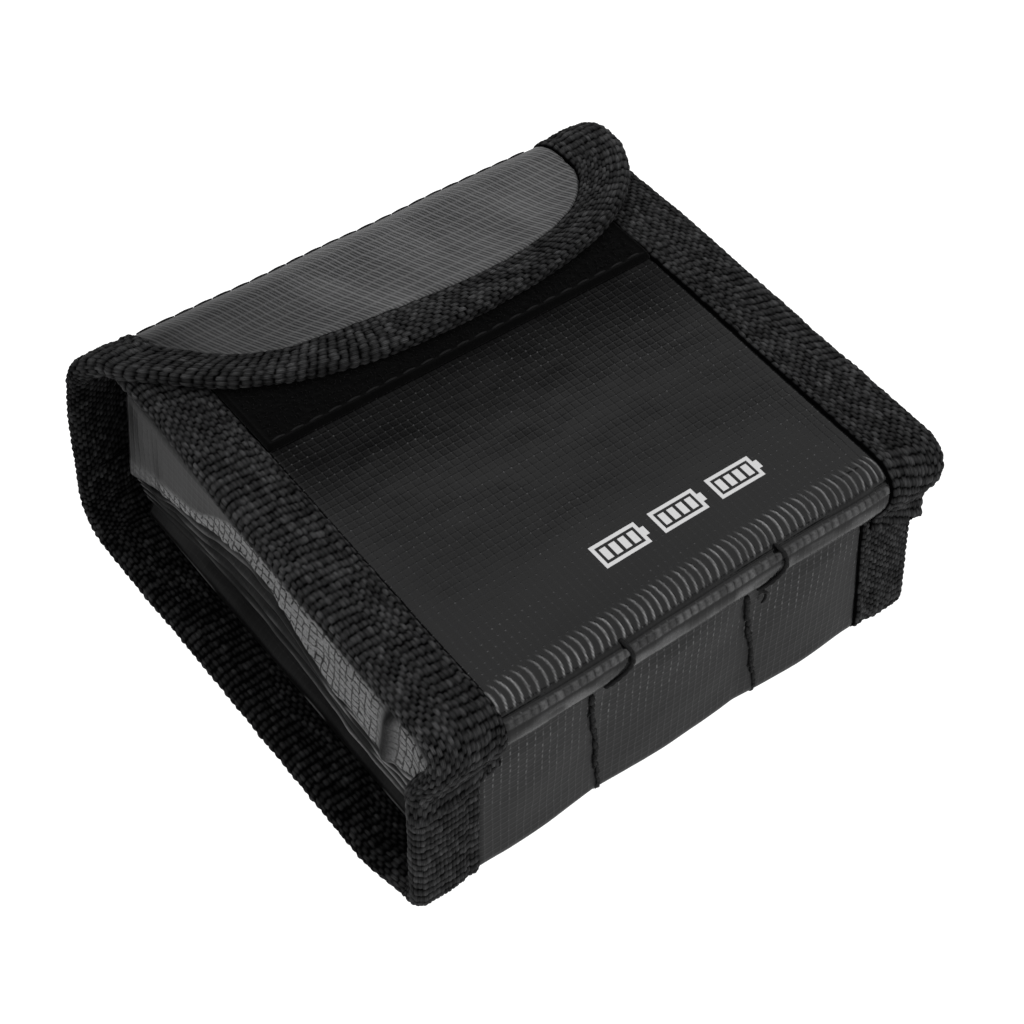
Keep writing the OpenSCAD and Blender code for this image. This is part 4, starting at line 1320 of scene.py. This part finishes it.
# hinge row
items = []
for x in np.arange(BACK_X[0] + TAPE_W + 2.5, BACK_X[1] - TAPE_W - 2, 3.4):
    p = []
    for d in (-1.62, 1.62):
        s = M["lean"] + 3.2
        rr = float(flap_r(np.array([x + d]), np.array([s]), None)[0])
        y, z, ny, nz = web.at(s)
        rr += 0.06
        p.append(np.array([x + d, y + ny * rr, z + nz * rr]))
    items.append((p[0], p[1], (0, 0.8, 0.6), 0.21, 0.05))
hinge_st = threads("hinge_row_stitches", items)
# loop strip
lo, hi = box_mm("loop_strip")
items = []
for y in (lo[1] + 1.1, hi[1] - 1.1):
    for x in np.arange(lo[0] + 2.5, hi[0] - 2, 3.4):
        zz = float(front_z(np.array(x), np.array(y))) + 0.86
        items.append(((x - 1.15, y, zz), (x + 1.15, y, zz), (0, 0, 1.0), 0.22, 0.15))
loop_st = threads("loop_strip_stitching", items)
lo, hi = box_mm("hook_strip")
items = []
for y in (lo[1] + 0.9, hi[1] - 0.9):
    for x in np.arange(lo[0] + 2, hi[0] - 1.5, 3.4):
        zz = FLAP_H - 2.27 + float(flap_drop(y))
        items.append(((x - 1.15, y, zz), (x + 1.15, y, zz), (0, 0, -1.0), 0.20, 0.12))
hook_st = threads("hook_strip_stitching", items)
# divider seams: a dense lockstitch pulled into the cloth, with a loose end on the roll
def on_cloth(x, sv, lift):
    rr = float(cloth_r(np.array(x), np.array(sv)))
    y, z, ny, nz = web.at(sv)
    return np.array([x, y + ny * (rr + lift), z + nz * (rr + lift)]), (0, float(ny), float(nz))


items = []
q = np.random.RandomState(3)
for x0, x1 in ((-17.9, -14.8), (12.0, 16.4)):
    a, b = M["crease"] + 0.8, M["floor_bend"] - 2.6
    sv = a
    while sv < b:
        f = (sv - a) / (b - a)
        x = x0 + (x1 - x0) * f + q.uniform(-0.2, 0.2)
        ln = q.uniform(1.2, 2.0)
        lift = 0.12 if f < 0.85 else 0.0
        p0, u = on_cloth(x + q.uniform(-0.18, 0.18), sv - 0.2, lift)
        p1, _ = on_cloth(x + (x1 - x0) / (b - a) * ln + q.uniform(-0.18, 0.18), sv - 0.2 + ln, lift)
        items.append((p0, p1, u, q.uniform(0.34, 0.52) * (1 - 0.45 * f), 0.12))
        if q.uniform() < 0.4 and f < 0.8:
            # a loose filament beside it
            p2, _ = on_cloth(x + q.uniform(0.4, 0.9) * q.choice([-1, 1]), sv + q.uniform(0, 1.4), 0.1)
            items.append((p0, p2, u, 0.14, 0.12))
        sv += 1.0
seam_low = threads("divider_seam_threads_lower", items)
items = []
for line in (((-13.6, 3.1), (-12.9, 4.6), (-12.5, 6.2), (-12.9, 7.6), (-14.1, 8.8), (-15.6, 9.9), (-16.6, 11.0)),
             ((15.6, 3.4), (16.5, 4.9), (16.8, 6.4), (16.4, 7.8), (15.3, 9.0), (14.0, 10.1), (12.8, 11.2))):
    dense = catmull(list(line), 3)
    for i in range(0, len(dense) - 1, 2):
        e = min(i + 3, len(dense) - 1)
        p0, u = on_cloth(dense[i][0], M["front"] + dense[i][1], 0.16)
        p1, _ = on_cloth(dense[e][0], M["front"] + dense[e][1], 0.16)
        items.append((p0, p1, u, q.uniform(0.34, 0.46), 0.14))
# short tail standing off the right seam
for x, a, b, sb in ((14.6, 1.0, 15.9, 2.4), (15.7, 2.2, 14.9, 4.0)):
    p0, u = on_cloth(x, M["crease"] + a, 0.2)
    p1, _ = on_cloth(b, M["crease"] + sb, 0.5)
    items.append((p0, p1, u, 0.26, 0.3))
seam_up = threads("divider_seam_threads_upper", items)

# ================================================================== attach some pieces to bodies, bake the rest in place, and hide the CAD parts they replace
SZ = [(-0.0, -42, 2.0), (0, -42, 27.5)]


def collapse(o):
    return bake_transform(o)


def tip(o):
    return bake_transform(o)


def fold_wall(o):
    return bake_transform(o)


def fold_flap(o):
    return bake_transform(o)


def put(o, slot, *nodes):
    if nodes:
        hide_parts(*nodes)


tip(front_cloth)
put(front_cloth, "outer_cloth", "front_panel", "bottom_roll")
collapse(bottom_cloth)
put(bottom_cloth, "outer_cloth", "bottom_wall")
fold_wall(back_cloth)
put(back_cloth, "outer_cloth", "back_panel")
fold_flap(wall_cloth)
put(wall_cloth, "flap_cloth", "closing_wall", "flap_panel")
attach(front_lin, "front")
put(front_lin, "lining", "front_lining")
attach(roll_lin, "roll")
put(roll_lin, "lining", "roll_lining")
collapse(bottom_lin)
put(bottom_lin, "lining", "bottom_lining")
fold_wall(back_lin)
put(back_lin, "lining", "back_lining")
fold_flap(wall_lin)
put(wall_lin, "lining", "wall_lining", "flap_lining")
for o, a, b in ((front_tape_l, "front_binding_left", "roll_binding_left"), (front_tape_r, "front_binding_right", "roll_binding_right")):
    tip(o)
    put(o, "binding_tape", a, b)
for o, a in ((bottom_tape_l, "bottom_binding_left"), (bottom_tape_r, "bottom_binding_right")):
    collapse(o)
    put(o, "binding_tape", a)
for o, a in ((back_tape_l, "back_binding_left"), (back_tape_r, "back_binding_right")):
    fold_wall(o)
    put(o, "binding_tape", a)
fold_flap(flap_tape)
put(flap_tape, "binding_tape", "flap_binding", "wall_binding_left", "wall_binding_right")
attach(mouth_tape, "front")
put(mouth_tape, "binding_tape", "mouth_binding")
for pair, node in ((gus_l, "gusset_left"), (gus_r, "gusset_right")):
    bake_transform(pair[0])
    put(pair[0], "gusset_cloth", node)
    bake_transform(pair[1])
    put(pair[1], "gusset_cloth", node)
for o, node in ((div_l, "divider_left"), (div_r, "divider_right")):
    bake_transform(o)
    put(o, "lining", node)
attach(loop_base, "front")
put(loop_base, "loop_pile", "loop_strip")
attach(loop_pile, "front")
put(loop_pile, "loop_pile")
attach(loop_st, "front")
put(loop_st, "thread", "loop_strip_stitches")
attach(hook_base, "flap")
put(hook_base, "hook_tape", "hook_strip")
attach(hook_hooks, "flap")
put(hook_hooks, "hook_tape")
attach(hook_st, "flap")
put(hook_st, "thread", "hook_strip_stitches")
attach(mark_obj, "front")
put(mark_obj, "print", "front_mark")
tip(front_st)
put(front_st, "thread", "front_binding_stitches")
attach(back_st, "back")
put(back_st, "thread", "back_binding_stitches")
fold_flap(wall_st)
put(wall_st, "thread", "wall_binding_stitches")
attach(flap_st, "flap")
put(flap_st, "thread", "flap_binding_stitches")
fold_flap(hinge_st)
put(hinge_st, "thread", "hinge_stitches")
collapse(seam_low)
put(seam_low, "thread", "divider_seam_lower")
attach(seam_up, "roll")
put(seam_up, "thread", "divider_seam_upper")

# ================================================================== stage
vis_lo, vis_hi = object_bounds()
me = bpy.data.meshes.new("floor")
z = vis_lo.z - 0.00002
me.from_pydata([(-3, -3, z), (3, -3, z), (3, 3, z), (-3, 3, z)], [], [(0, 1, 2, 3)])
floor = bpy.data.objects.new("floor", me)
bpy.context.scene.collection.objects.link(floor)
fm = Mat("floor_white")
lp = fm.t.nodes.new("ShaderNodeLightPath")
strength = fm.mixf(lp.outputs["Is Camera Ray"], 0.32, 1.15)
fm.set(color=(0.25, 0.25, 0.25), rough=0.9, spec=0.0, emit=(1, 1, 1), emit_s=strength)
me.materials.append(fm.m)
floor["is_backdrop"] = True

world = bpy.data.worlds.new("studio")
bpy.context.scene.world = world
world.use_nodes = True
wt = world.node_tree
bg = wt.nodes["Background"]
tc = wt.nodes.new("ShaderNodeTexCoord")
sep = wt.nodes.new("ShaderNodeSeparateXYZ")
wt.links.new(tc.outputs["Generated"], sep.inputs[0])
mr = wt.nodes.new("ShaderNodeMapRange")
mr.interpolation_type = "SMOOTHSTEP"
for k, v in enumerate((0.40, 0.54, 0.38, 0.015)):
    mr.inputs[k + 1].default_value = v
wt.links.new(sep.outputs[2], mr.inputs[0])
bg.inputs[0].default_value = (1, 1, 1, 1)
wl = wt.nodes.new("ShaderNodeLightPath")
wm = wt.nodes.new("ShaderNodeMix")
wt.links.new(wl.outputs["Is Camera Ray"], wm.inputs[0])
wt.links.new(mr.outputs[0], wm.inputs[2])
wm.inputs[3].default_value = 1.15
wt.links.new(wm.outputs[0], bg.inputs[1])


def area(name, loc, target, sx, sy, power):
    light = bpy.data.lights.new(name, "AREA")
    light.shape = "RECTANGLE"
    light.size, light.size_y = sx, sy
    light.energy = power
    o = bpy.data.objects.new(name, light)
    bpy.context.scene.collection.objects.link(o)
    o.location = loc
    d = Vector(target) - Vector(loc)
    o.rotation_euler = d.to_track_quat("-Z", "Y").to_euler()
    return o


# a wide soft box overhead whose far edge is mirrored in the front panel
top = area("softbox", (0.10, -0.215, 0.90), (0.10, -0.215, 0.0), 2.0, 1.7, 6.4)

# camera
az, el, roll = -0.727, 0.870, 0.086
f_px, D, tx, ty = 2110.575, 346.303, 3.271, 8.185
back = np.array([math.sin(az) * math.cos(el), -math.cos(az) * math.cos(el), math.sin(el)])
right = np.array([math.cos(az), math.sin(az), 0])
up = np.cross(back, right)
r2v = math.cos(roll) * right + math.sin(roll) * up
u2v = -math.sin(roll) * right + math.cos(roll) * up
C = (back * D + r2v * tx + u2v * ty) * MM
cam = bpy.data.cameras.new("camera")
cam.sensor_width = 36
cam.lens = 36 * f_px / 1024
cam.clip_start, cam.clip_end = 0.01, 20
co = bpy.data.objects.new("camera", cam)
bpy.context.scene.collection.objects.link(co)
mat = Matrix.Identity(4)
for i in range(3):
    mat[i][0], mat[i][1], mat[i][2], mat[i][3] = r2v[i], u2v[i], back[i], C[i]
co.matrix_world = mat
bpy.context.scene.camera = co
bpy.context.scene.view_settings.view_transform = "Standard"
bpy.context.scene.view_settings.look = "None"
bpy.context.scene.view_settings.exposure = 0.0

vis_lo, vis_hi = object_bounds()
